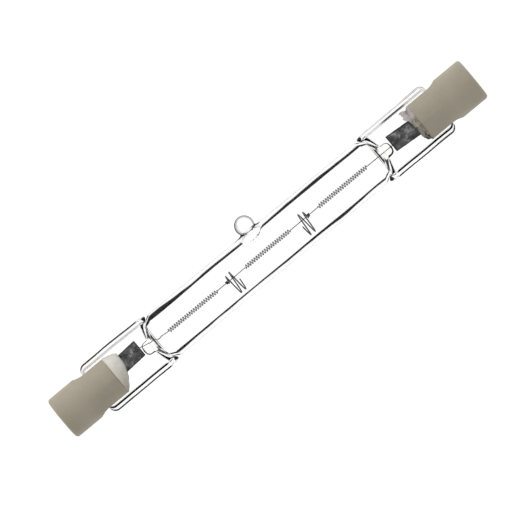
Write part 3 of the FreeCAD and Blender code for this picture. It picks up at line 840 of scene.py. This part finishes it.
def bore_lines(points):
    """How wide and how dark the painted line is at each point of the bore."""
    far = np.abs(points[:, 0])
    right = points[:, 0] > 0
    below = points[:, 1] < 0
    end = ramp(far, *END_LINES)
    canal = ramp(far, *CANAL_LINES)
    left_width = BORE_WIDTH["left"] + BORE_WIDTH["left growth"] * ramp(far, *LEFT_GROWTH)
    width = np.where(below, BORE_WIDTH["below"], np.where(right, BORE_WIDTH["right"], left_width))
    width = width + (BORE_WIDTH["end"] - width) * end
    canal_below = np.where(right, CANAL_WIDTH["below right"], CANAL_WIDTH["below left"])
    width = width + (np.where(below, canal_below, CANAL_WIDTH["above"]) - width) * canal
    open_middle = OPEN_MIDDLE * (1 - ramp(np.abs(points[:, 1]), *OPEN_EDGE))
    return width, 1 - open_middle * end * (1 - canal)


bore_width, bore_painted_shade = bore_lines(bore_points)
in_funnel = raise_tip(bore_points, FUNNEL_PATCH, BORE_RADIUS, FUNNEL_BALL)
# In the funnel the painted dark line grows paler away from its middle plane.
bore_painted_shade[in_funnel] = 1 - TIP_FADE * ramp(np.abs(bore_points[in_funnel, 2]), 0, FUNNEL_FADE_REACH)
print(f"funnel: {in_funnel.sum()} points")

# %% Join both surfaces into the envelope
outside = skin_faces(0, len(OUTER_X), AROUND)
hollow = skin_faces(len(outer_points), len(bore_rings), BORE_AROUND, inward=True)
envelope = mesh_from("quartz_tube", np.vstack([outer_points, bore_points]), outside + hollow)
finish_numbers = [0] * len(outside) + [1] * len(hollow)
envelope.polygons.foreach_set("material_index", finish_numbers)
# The envelope carries how wide and how dark its painted dark lines are.
carry(envelope, "line", np.concatenate([outer_width, bore_width]))
carry(envelope, "ink", np.concatenate([outer_painted_shade, bore_painted_shade]))
volume = bmesh.new()
volume.from_mesh(envelope)
print(f"quartz volume {volume.calc_volume(signed=True):.0f} cubic mm")
volume.free()
add_piece(envelope, "quartz_envelope", "quartz", quartz, quartz_bore)

# %% [markdown]
# ## The filament
# The filament is one tungsten wire with three wound sections and straight runs between them. A
# wound wire follows a rule, so Geometry Nodes draw it: a straight line of points is pushed out
# into a screw where a section is wound, and then swept with a round wire. The sizes are the
# tree's inputs. The wire's two ends dip to the foils in the pinches.

# %% A tree builder for wound wire


def node_tree(name, inputs):
    """An empty geometry tree with named number inputs: the tree, its inputs and its output."""
    tree = bpy.data.node_groups.new(name, "GeometryNodeTree")
    tree.interface.new_socket(name="Geometry", in_out="OUTPUT", socket_type="NodeSocketGeometry")
    for label in inputs:
        tree.interface.new_socket(name=label, in_out="INPUT", socket_type="NodeSocketFloat")
    tree.interface.new_socket(name="Finish", in_out="INPUT", socket_type="NodeSocketMaterial")
    entry = tree.nodes.new("NodeGroupInput")
    given = {socket.name: Value(tree, socket) for socket in entry.outputs if socket.name}
    return tree, given, tree.nodes.new("NodeGroupOutput")


def line_of_points(tree, start, end, count):
    """A straight line along X with evenly spaced points: the line, and the X of each point."""
    ends = [Value.node(tree, "ShaderNodeCombineXYZ", sockets={0: x}) for x in (start, end)]
    sockets = {"Start": ends[0], "End": ends[1]}
    axis = Value.node(tree, "GeometryNodeCurvePrimitiveLine", sockets=sockets)
    sockets = {"Curve": axis, "Count": count}
    points = Value.node(tree, "GeometryNodeResampleCurve", sockets=sockets)
    place = Value.node(tree, "GeometryNodeInputPosition")
    return points, Value.node(tree, "ShaderNodeSeparateXYZ", sockets={0: place})


def sweep_wire(tree, path, radius, finish, output, sides=10):
    """Sweep a round wire along a path and end the tree."""
    sockets = {"Resolution": sides, "Radius": radius}
    circle = Value.node(tree, "GeometryNodeCurvePrimitiveCircle", sockets=sockets)
    sockets = {"Curve": path, "Profile Curve": circle, "Fill Caps": True}
    swept = Value.node(tree, "GeometryNodeCurveToMesh", sockets=sockets)
    smooth = Value.node(tree, "GeometryNodeSetShadeSmooth", sockets={"Geometry": swept})
    real = Value.node(tree, "GeometryNodeRealizeInstances", sockets={"Geometry": smooth})
    sockets = {"Geometry": real, "Material": finish}
    dressed = Value.node(tree, "GeometryNodeSetMaterial", sockets=sockets)
    tree.links.new(dressed.socket, output.inputs[0])


print("wire builder ready")

# %% Run a tree


def plain_mesh(holder, name):
    """The mesh that an object shows with its modifiers, as a plain mesh."""
    seen = holder.evaluated_get(bpy.context.evaluated_depsgraph_get())
    mesh = bpy.data.meshes.new_from_object(seen)
    mesh.name = name
    return mesh


def drawn_by(tree, name, sizes, finish):
    """Run a tree with its inputs set and return the plain mesh that it draws."""
    holder = add_object("holder", bpy.data.meshes.new("holder"))
    modifier = holder.modifiers.new("draw", "NODES")
    modifier.node_group = tree
    for item in tree.interface.items_tree:
        if item.in_out == "INPUT":
            given_size = finish if item.name == "Finish" else float(sizes[item.name])
            modifier[item.identifier] = given_size
    mesh = plain_mesh(holder, name)
    holder.modifiers.clear()
    bpy.data.objects.remove(holder)
    return mesh


print("tree runner ready")

# %% The filament's tree
WELD_LENGTH = 1.6
FILAMENT_SIZES = {
    "Wire radius": 0.1,
    "Coil radius": 0.47,
    "Pitch": 0.6,
    "Middle end": 6.5,
    "Outer start": 14.3,
    "Outer end": 28.5,
    "Bend start": 31.8,
    "Bend end": 33.9,
    "Foot drop": 0.23,
    "Left lean": 1.35,
    "Reach": FOIL_START + WELD_LENGTH,
}
FILAMENT_POINTS = 1900
FILAMENT_SIDES = 7
COIL_EDGE = 0.35

tree, given, output = node_tree("filament_winder", FILAMENT_SIZES)
points, x = line_of_points(tree, given["Reach"] * -1, given["Reach"], FILAMENT_POINTS)
far = x.sum("ABSOLUTE", x)
middle = 1 - far.between(given["Middle end"] - COIL_EDGE, given["Middle end"])
outer = far.between(given["Outer start"], given["Outer start"] + COIL_EDGE)
outer = outer * (1 - far.between(given["Outer end"] - COIL_EDGE, given["Outer end"]))
radius = given["Coil radius"] * (middle + outer)
angle = x / given["Pitch"] * (2 * math.pi)
drop = given["Foot drop"] * far.between(given["Bend start"], given["Bend end"])
lean = given["Left lean"] * (0 - x).between(given["Outer end"] - COIL_EDGE, given["Reach"])
offset = Value.node(tree, "ShaderNodeCombineXYZ", sockets={
    1: radius * angle.wave("COSINE") + lean, 2: radius * angle.wave("SINE") - drop,
})
sockets = {"Geometry": points, "Offset": offset}
wound = Value.node(tree, "GeometryNodeSetPosition", sockets=sockets)
sweep_wire(tree, wound, given["Wire radius"], given["Finish"], output, FILAMENT_SIDES)
filament = drawn_by(tree, "wound_filament", FILAMENT_SIZES, coil_metal)
add_piece(filament, "filament", "tungsten", coil_metal)

# %% [markdown]
# ## The filament supports
# Between the wound sections a small spring of tungsten wire holds the filament on the tube's
# axis: an eye of one and a half turns round the filament, opening out into hoops that stand on
# the bore. The same way of drawing works, with turns in place of length along the line.

# %% The supports' tree
SUPPORT_SIZES = {
    "Wire radius": 0.15,
    "Eye radius": 0.265,
    "Hoop radius": 2.75,
    "Hoop shift": 1.15,
    "Hoop drop": 1.15,
    "Eye pitch": 0.33,
    "Hoop pitch": 1.2,
    "Eye turns": 1.5,
    "Opening turns": 0.75,
    "Hoop turns": 1.5,
}
SUPPORT_POINTS = 260

tree, given, output = node_tree("support_winder", SUPPORT_SIZES)
turns = given["Eye turns"] + given["Opening turns"] + given["Hoop turns"]
points, turn_here = line_of_points(tree, 0.0, turns, SUPPORT_POINTS)
way = (turn_here - given["Eye turns"]) / given["Opening turns"]
way = way.sum("MAXIMUM", way.sum("MINIMUM", way, 1.0), 0.0)
opened = way * way * (3 - 2 * way)
past = turn_here - given["Eye turns"] - given["Opening turns"]
past = past.sum("MAXIMUM", past, 0.0)
# The soft step added up along the wire: the pitch grows with it from the eye's to the hoops'.
grown = given["Opening turns"] * (way * way * way - 0.5 * way * way * way * way) + past
along = given["Eye pitch"] * turn_here + (given["Hoop pitch"] - given["Eye pitch"]) * grown
radius = given["Eye radius"] + (given["Hoop radius"] - given["Eye radius"]) * opened
angle = turn_here * (2 * math.pi)
place = Value.node(tree, "ShaderNodeCombineXYZ", sockets={
    0: along,
    1: radius * angle.wave("COSINE") - given["Hoop shift"] * opened,
    2: radius * angle.wave("SINE") - given["Hoop drop"] * opened,
})
sockets = {"Geometry": points, "Position": place}
wound = Value.node(tree, "GeometryNodeSetPosition", sockets=sockets)
sweep_wire(tree, wound, given["Wire radius"], given["Finish"], output)
print(f"{tree.name}: {len(tree.nodes)} nodes")

# %% Set a support in each gap


def mirrored(mesh):
    """Mirror a mesh to the lamp's other end, and turn its faces outwards again."""
    mesh.transform(Matrix.Diagonal((-1, 1, 1, 1)))
    mesh.flip_normals()


for side, sign in SIDES:
    support = drawn_by(tree, f"support_spring_{side}", SUPPORT_SIZES, tungsten)
    if sign > 0:
        mirrored(support)
    low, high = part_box(f"filament_support_{side}")
    xs = [vertex.co.x for vertex in support.vertices]
    shift = (low.x + high.x) / 2 / MM - (min(xs) + max(xs)) / 2
    support.transform(Matrix.Translation((shift, 0, 0)))
    add_piece(support, f"filament_support_{side}", "tungsten", tungsten)

# %% [markdown]
# ## The seal foils
# A strip of foil thinner than a hair makes the vacuum-tight joint in each pinch. The press leaves
# it crinkled and seldom quite straight. It is drawn as a fine grid with a low noise for the
# crinkles, closed into a thin slab.

# %% The foils
FOIL_WIDTH = 4.1
FOIL_THICKNESS = 0.06
FOIL_HEIGHT = -0.38
FOIL_GRID = (88, 34)
FOIL_RIM = 0.4
FOIL_RAGGED = 0.05
RAGGED_SCALE = 2.1
RAGGED_SEEDS = (3.0, 0.4)
RAGGED_POWER = 5
FOIL_CRINKLES = (
    {"height": 0.055, "along": 0.9, "across": 1.1, "seed": 5.0},
    {"height": 0.022, "along": 2.6, "across": 3.0, "seed": 9.0},
)
FOIL_LIES = {"left": {"tilt": -0.06, "shift": 0.92}, "right": {"tilt": -0.078, "shift": -0.04}}


def foil_point(along, across, sign, tilt, shift):
    """The middle of the foil at a place along and across it."""
    edge = noise.noise((along * RAGGED_SCALE, sign * RAGGED_SEEDS[0], RAGGED_SEEDS[1]))
    ragged = FOIL_RAGGED * edge * (2 * across / FOIL_WIDTH) ** RAGGED_POWER
    height = FOIL_HEIGHT
    for crinkle in FOIL_CRINKLES:
        place = (along * crinkle["along"], across * crinkle["across"], sign * crinkle["seed"])
        height += crinkle["height"] * noise.noise(place)
    y = across + ragged + shift + tilt * (along - (FOIL_START + FOIL_END) / 2)
    return Vector((sign * along, y, height))


def crinkled_foil(name, sign, tilt, shift):
    """A thin crinkled strip along X, tilted a little in the plane of the pinch."""
    columns, rows = FOIL_GRID
    half = Vector((0, 0, FOIL_THICKNESS / 2))
    top, low, rims = [], [], []
    for i in range(columns):
        for j in range(rows):
            along = FOIL_START + (FOIL_END - FOIL_START) * i / (columns - 1)
            across = FOIL_WIDTH * (j / (rows - 1) - 0.5)
            middle = foil_point(along, across, sign, tilt, shift)
            top.append(middle + half)
            low.append(middle - half)
            inset = min(along - FOIL_START, FOIL_END - along, FOIL_WIDTH / 2 - abs(across))
            rims.append(float(1 - eased(inset / FOIL_RIM)))
    faces = []
    under = len(top)
    for i in range(columns - 1):
        for j in range(rows - 1):
            a, b = i * rows + j, (i + 1) * rows + j
            faces.append([a, b, b + 1, a + 1])
            faces.append([under + a, under + a + 1, under + b + 1, under + b])
    border = [i * rows for i in range(columns)]
    border += [(columns - 1) * rows + j for j in range(1, rows)]
    border += [i * rows + rows - 1 for i in range(columns - 2, -1, -1)]
    border += list(range(rows - 2, 0, -1))
    for i, a in enumerate(border):
        b = border[(i + 1) % len(border)]
        faces.append([a, under + a, under + b, b])
    if sign < 0:
        faces = [face[::-1] for face in faces]
    mesh = mesh_from(name, top + low, faces)
    carry(mesh, "rim", rims + rims)
    return mesh


for side, sign in SIDES:
    foil = crinkled_foil(f"crinkled_foil_{side}", sign, **FOIL_LIES[side])
    add_piece(foil, f"seal_foil_{side}", "molybdenum", foil_metal)

# %% [markdown]
# ## The ceramic caps
# A cap is pressed from steatite powder in a die and fired: a round body, slotted from one end so
# that it straddles the pinch, with a recess for the contact in the other end. It is turned from
# a profile, and the slot is cut with a Boolean, as a slot cutter would. The slot's end is half
# round, so the cap's outline widens there in a soft step. A Bevel softens the edges, because
# pressed ceramic has no sharp ones.

# %% Turned bodies
TURN_STEPS = 128
ROUND_STEPS = 6
SAME_PLACE = 1e-4


def turned(name, profile, steps=TURN_STEPS):
    """A closed body turned about the lamp's axis, from a profile of X and radius."""
    work = bmesh.new()
    ring = [work.verts.new((x, radius, 0.0)) for x, radius in profile]
    edges = [work.edges.new((a, b)) for a, b in zip(ring, ring[1:]) if a.co.y > 0 or b.co.y > 0]
    bmesh.ops.spin(
        work, geom=ring + edges, cent=(0, 0, 0), axis=(1, 0, 0),
        angle=2 * math.pi, steps=steps, use_merge=True,
    )
    bmesh.ops.remove_doubles(work, verts=work.verts, dist=SAME_PLACE)
    bmesh.ops.recalc_face_normals(work, faces=work.faces)
    mesh = bpy.data.meshes.new(name)
    work.to_mesh(mesh)
    work.free()
    return mesh


def rounded(end, side, radius):
    """Points of a rounded corner between a side and an end of a profile."""
    turn = np.linspace(0, math.pi / 2, ROUND_STEPS)
    return [(end - radius * (1 - math.sin(a)), side - radius * (1 - math.cos(a))) for a in turn]


print(f"bodies are turned in {TURN_STEPS} steps")

# %% The cap's profile
CAP_EDGE = 0.7
RECESS_RADIUS = 2.5
RECESS_FLARE = 0.7
SEAT_RADIUS = 2.25
SEAT_DEPTH = CONTACT_FACE - 1.0
STEM_HOLE = 0.85
HOLE_START = SLOT_END - 0.5
cap_profile = [
    (CAP_MOUTH, 0.0),
    (CAP_MOUTH, CAP_RADIUS),
    *rounded(CAP_END, CAP_RADIUS, CAP_EDGE),
    (CAP_END, RECESS_RADIUS + RECESS_FLARE),
    (CAP_END - RECESS_FLARE, RECESS_RADIUS),
    (CONTACT_FACE, RECESS_RADIUS),
    (CONTACT_FACE, SEAT_RADIUS),
    (SEAT_DEPTH, SEAT_RADIUS),
    (SEAT_DEPTH, STEM_HOLE),
    (HOLE_START, STEM_HOLE),
    (HOLE_START, 0.0),
]
print(f"cap profile: {len(cap_profile)} points")

# %% The slot's cutter
SLOT_HALF = 2.45
SLOT_ROUND_STEPS = 24
CUTTER_PAST = 5.0


def slot_shape():
    """What the slot takes out: half round at its end, and past the cap on the other sides."""
    turn = np.linspace(-math.pi / 2, math.pi / 2, SLOT_ROUND_STEPS + 1)
    outline = [(SLOT_END - SLOT_HALF * (1 - math.cos(a)), SLOT_HALF * math.sin(a)) for a in turn]
    outline += [(CAP_MOUTH - CUTTER_PAST, SLOT_HALF), (CAP_MOUTH - CUTTER_PAST, -SLOT_HALF)]
    count = len(outline)
    reach = CAP_RADIUS + CUTTER_PAST
    points = [(x, y, z) for y in (-reach, reach) for x, z in outline]
    sides = [[(i + 1) % count, i, i + count, (i + 1) % count + count] for i in range(count)]
    ends = [list(range(count)), list(range(2 * count - 1, count - 1, -1))]
    return mesh_from("slot_cutter", points, sides + ends, smooth=False)


print(f"slot {2 * SLOT_HALF:.2f} mm wide")

# %% Cut the slot and soften the edges
SOFT_EDGE = 0.16
SOFT_SEGMENTS = 3
FLAT_LIMIT = math.radians(32)


def shade_soft(mesh):
    """Shade a mesh smooth, apart from its sharp edges."""
    mesh.polygons.foreach_set("use_smooth", [True] * len(mesh.polygons))
    mesh.set_sharp_from_angle(angle=FLAT_LIMIT)


def slotted_cap(name, sign):
    """A cap with its slot cut and its edges softened, for one end of the lamp."""
    blank = add_object("cap_blank", turned("cap_blank", cap_profile))
    cutter = add_object("slot_cutter", slot_shape())
    slot = blank.modifiers.new("slot", "BOOLEAN")
    slot.object = cutter
    slot.operation = "DIFFERENCE"
    slot.solver = "EXACT"
    soft = blank.modifiers.new("soft edges", "BEVEL")
    soft.width = SOFT_EDGE
    soft.segments = SOFT_SEGMENTS
    soft.limit_method = "ANGLE"
    soft.angle_limit = FLAT_LIMIT
    mesh = plain_mesh(blank, name)
    for holder in (blank, cutter):
        bpy.data.objects.remove(holder)
    if sign < 0:
        mirrored(mesh)
    shade_soft(mesh)
    return mesh


for side, sign in SIDES:
    cap = slotted_cap(f"slotted_cap_{side}", sign)
    add_piece(cap, f"ceramic_cap_{side}", "steatite", steatite)

# %% [markdown]
# ## The contacts
# A contact is a small turned button that sits in the cap's recess, with a hollow stem behind it
# that is crimped on the lead. Only its face shows. It is turned from a profile like the cap, with
# a shallow dish in the face and a rounded rim.

# %% The contacts
CONTACT_RADIUS = 2.2
CONTACT_RIM = 0.25
CONTACT_STEPS = 64
STEM_RADIUS = 0.8
CRIMP_RADIUS = 0.42
CRIMP_END = CONTACT_FACE - 0.5
DISH = [(0.0, 1.0), (0.08, 0.8), (0.12, 0.0)]
contact_profile = [
    (SLOT_END, CRIMP_RADIUS),
    (SLOT_END, STEM_RADIUS),
    (SEAT_DEPTH, STEM_RADIUS),
    (SEAT_DEPTH, CONTACT_RADIUS),
    *rounded(CONTACT_FACE, CONTACT_RADIUS, CONTACT_RIM),
    *((CONTACT_FACE - depth, radius) for depth, radius in DISH),
    (CRIMP_END, 0.0),
    (CRIMP_END, CRIMP_RADIUS),
    (SLOT_END, CRIMP_RADIUS),
]
for side, sign in SIDES:
    button = turned(f"contact_button_{side}", contact_profile, CONTACT_STEPS)
    if sign < 0:
        mirrored(button)
    shade_soft(button)
    add_piece(button, f"end_contact_{side}", "contact_metal", contact_metal)

# %% [markdown]
# ## The cement
# The caps are set on the pinches with a stiff cement that is pushed into the slot and squeezes
# out at the mouth. At the left end it stands out as a pale collar; at the right end only a thin
# uneven strip shows. It is lofted from rounded sections, and noise makes it as uneven as handwork.

# %% A lump of cement
CEMENT_AROUND = 96
CEMENT_STEPS = 70
FREE_FROM = 0.8
LUMP_SCALE = (0.55, 0.6, 0.8)
FINER_LUMPS = 2.7
FINER_SHARE = 0.5
PUSH = (0.8, 0.10, 0.16)
SLOT_SHADE = 0.6
SLOT_SHADE_REACH = 0.5


def cement_lump(name, sign, knots, roughness, seed, in_light, in_shade):
    """A lump along the slot, from knots of X, half width, half height, sideways shift and roundness.

    The painted shade grows from the first of two heights across the lamp to the second.
    """
    knots = np.array(knots)
    length = length_along(knots[:, :3])
    rows = points_at(np.linspace(0, length[-1], CEMENT_STEPS), length, knots)
    turn = full_turn(CEMENT_AROUND)
    cosine, sine = np.cos(turn), np.sin(turn)
    points = []
    for x, half_width, half_height, shift, roundness in rows:
        square_y = np.sign(cosine) * np.abs(cosine) ** roundness
        square_z = np.sign(sine) * np.abs(sine) ** roundness
        free = float(eased((CAP_MOUTH - x) / FREE_FROM))
        for y, z in zip(half_width * square_y + shift, half_height * square_z):
            lump = Vector((x * LUMP_SCALE[0], y * LUMP_SCALE[1], z * LUMP_SCALE[2] + seed))
            uneven = noise.noise(lump) + FINER_SHARE * noise.noise(lump * FINER_LUMPS)
            along, across, up = (roughness * free * uneven * share for share in PUSH)
            points.append((sign * (x - along), y * (1 + across), z * (1 + up)))
    mesh = mesh_from(name, points, skin_faces(0, CEMENT_STEPS, CEMENT_AROUND, inward=sign < 0))
    x, y = np.array(points)[:, :2].T
    # Painted shade: darker away from the exhaust tip, and darker inside the slot past the cap's mouth.
    in_slot = SLOT_SHADE * ramp(np.abs(x), CAP_MOUTH, SLOT_SHADE_REACH)
    carry(mesh, "stain", np.maximum(ramp(y, in_light, in_shade - in_light), in_slot))
    return mesh


print(f"a lump has {CEMENT_STEPS} rings of {CEMENT_AROUND} points")

# %% The cement of both ends
FILL_HALF_WIDTH = 4.5
FILL_ROUNDNESS = 0.4
FILL_GAP = 0.01
FILL_DEPTHS = (SLOT_HALF, 1.5, 0.8, 0.35, 0.1, 0.02)
LEFT_COLLAR = [
    (3.25, 0.9, 1.45, 2.5, 0.7), (3.1, 1.6, 1.8, 2.1, 0.7), (2.6, 2.5, 2.2, 1.5, 0.75),
    (2.0, 3.3, 2.6, 1.0, 0.8), (1.2, 3.9, 3.2, 0.55, 0.85), (0.4, 4.5, 4.0, 0.2, 0.95),
    (0.03, 4.8, 4.3, 0.0, 1.0),
]
RIGHT_STRIP = [
    (2.2, 0.7, 1.45, 3.3, 0.8), (1.95, 1.2, 1.7, 3.25, 0.8), (1.35, 1.5, 1.9, 2.9, 0.8),
    (1.2, 3.3, 2.0, 0.4, 0.8), (0.9, 3.9, 2.4, 0.0, 0.85), (0.3, 4.5, 3.6, 0.1, 0.95),
    (0.03, 4.8, 4.3, 0.0, 1.0),
]


def with_fill(collar):
    """Knots of a collar, given by how far they stand out of the cap, and of the fill in the slot."""
    fill = [(CAP_MOUTH, SLOT_HALF)]
    for depth in FILL_DEPTHS:
        fill.append((SLOT_END - depth, math.sqrt(depth * (2 * SLOT_HALF - depth))))
    return [(CAP_MOUTH - out, *sizes) for out, *sizes in collar] + [
        (x, FILL_HALF_WIDTH, half - FILL_GAP, 0.0, FILL_ROUNDNESS) for x, half in fill
    ]


collar = cement_lump(
    "cement_collar_left", -1, with_fill(LEFT_COLLAR),
    roughness=0.22, seed=3.1, in_light=3.0, in_shade=-5.5,
)
add_piece(collar, "cement_left", "cement", cement_grey)
strip = cement_lump(
    "cement_strip_right", 1, with_fill(RIGHT_STRIP),
    roughness=0.9, seed=8.4, in_light=2.3, in_shade=1.2,
)
add_piece(strip, "cement_right", "cement", cement_brown)

# %% [markdown]
# ## The leads
# The two outer leads run from the foils through the cement to the contacts. Their CAD shape is
# right, so they keep it and only get their finish.

# %% Finish for the leads
for side, _ in SIDES:
    lead = nodes[f"outer_lead_{side}"]
    lead.data.materials.clear()
    lead.data.materials.append(lead_metal)
print("leads finished")

# %% [markdown]
# ## Floor and light
# The floor is plain and pale. A bright overcast sky lights it from all round, and one large soft
# lamp from the side of the exhaust tip gives the caps their light and their shaded side. The
# view is shown as it is, with no filmic curve, so that white stays white.

# %% The floor
FLOOR_REACH = 4.0
FLOOR_CORNERS = ((-1, -1), (1, -1), (1, 1), (-1, 1))
PAPER_CLOUDS = 40
PAPER_GREYS = [(0.3, (0.28, 0.28, 0.28)), (0.7, (0.3, 0.3, 0.3))]
corners = [(x * FLOOR_REACH, y * FLOOR_REACH, 0) for x, y in FLOOR_CORNERS]
floor_mesh = mesh_from("studio_floor", corners, [[0, 1, 2, 3]], smooth=False)
floor = add_object("studio_floor", floor_mesh)
paper, tree, output = new_finish("pale_paper")
finish_with(tree, output, Value.node(tree, "ShaderNodeBsdfPrincipled", sockets={
    "Base Color": colour_ramp(tree, object_noise(tree, PAPER_CLOUDS), PAPER_GREYS),
    "Roughness": 0.9,
    "Specular IOR Level": 0.1,
    "Emission Color": (1.0, 1.0, 1.0, 1.0),
    "Emission Strength": 0.9,
}))
floor_mesh.materials.append(paper)
print(f"floor of {2 * FLOOR_REACH:.0f} m with {paper.name}")

# %% The sky and the soft lamp
SKY_STRENGTH = 1.0
SKY_GREYS = [(0.0, (1.0, 1.0, 1.0)), (0.8, (0.47, 0.47, 0.47))]
KEY_SIZE = 0.5
KEY_WATTS = 0.6
KEY_WAY = Vector((-0.12, 0.7, 0.45))
AXIS = Vector((0, axis_y, axis_z))

sky = bpy.data.worlds.new("soft_sky")
sky.use_nodes = True
tree = sky.node_tree
tree.nodes.clear()
direction = Value.node(tree, "ShaderNodeTexCoord")
height = Value.node(tree, "ShaderNodeSeparateXYZ", sockets={0: direction}, out=2)
sockets = {"Color": colour_ramp(tree, height, SKY_GREYS), "Strength": SKY_STRENGTH}
light = Value.node(tree, "ShaderNodeBackground", sockets=sockets)
finish_with(tree, tree.nodes.new("ShaderNodeOutputWorld"), light)
bpy.context.scene.world = sky
bpy.context.scene.view_settings.view_transform = "Standard"

key_data = bpy.data.lights.new("soft_key", "AREA")
key_data.shape = "DISK"
key_data.size = KEY_SIZE
key_data.energy = KEY_WATTS
key = add_object("soft_key", key_data)
key.location = AXIS + KEY_WAY
key.rotation_euler = KEY_WAY.to_track_quat("Z", "Y").to_euler()
print(f"key light {KEY_WAY.length:.2f} m away")

# %% [markdown]
# ## The camera
# The lamp is seen square to its flat pinches, with the right-hand end a little nearer, and runs
# up to the right at almost 40 degrees. The camera's right and up vectors follow from that: the
# lamp's axis as it shows in the picture is turned back by that angle.

# %% The camera
PICTURE = 522
SENSOR = 36.0
LENS = 470.0
DISTANCE = 1.5
TILT = math.radians(0.8)
RISE = math.radians(39.7)
MIDDLE_PIXEL = (267.7, 248.9)
NEAREST = 0.01
ALONG = Vector((1, 0, 0))

face_way = (LAMP_TO_ROW.to_3x3() @ Vector((0, 0, 1))).normalized()
towards = (face_way * math.cos(TILT) + ALONG * math.sin(TILT)).normalized()
shown_axis = (ALONG - towards * towards.x).normalized()
shown_side = towards.cross(shown_axis)
right = shown_axis * math.cos(RISE) - shown_side * math.sin(RISE)
up = shown_axis * math.sin(RISE) + shown_side * math.cos(RISE)
per_metre = PICTURE / SENSOR * LENS / DISTANCE
aside, below = ((pixel - PICTURE / 2) / per_metre for pixel in MIDDLE_PIXEL)
target = AXIS - right * aside + up * below
camera_data = bpy.data.cameras.new("camera")
camera_data.sensor_width = SENSOR
camera_data.lens = LENS
camera_data.clip_start = NEAREST
camera = add_object("camera", camera_data)
turned_to = Matrix((right, up, towards)).transposed().to_4x4()
camera.matrix_world = Matrix.Translation(target + towards * DISTANCE) @ turned_to
bpy.context.scene.camera = camera
print(f"camera {DISTANCE} m away, {per_metre * MM:.2f} pixels to the millimetre")

# %% Where the ends show


def shown_at(point):
    """Where a point lands in the picture, in pixels."""
    local = camera.matrix_world.inverted() @ point
    return [
        round(PICTURE / 2 + sign * part / -local.z * PICTURE / SENSOR * LENS, 1)
        for sign, part in ((1, local.x), (-1, local.y))
    ]


for side, sign in SIDES:
    print(side, "end of the axis at pixel", shown_at(AXIS + ALONG * (sign * CAP_END * MM)))
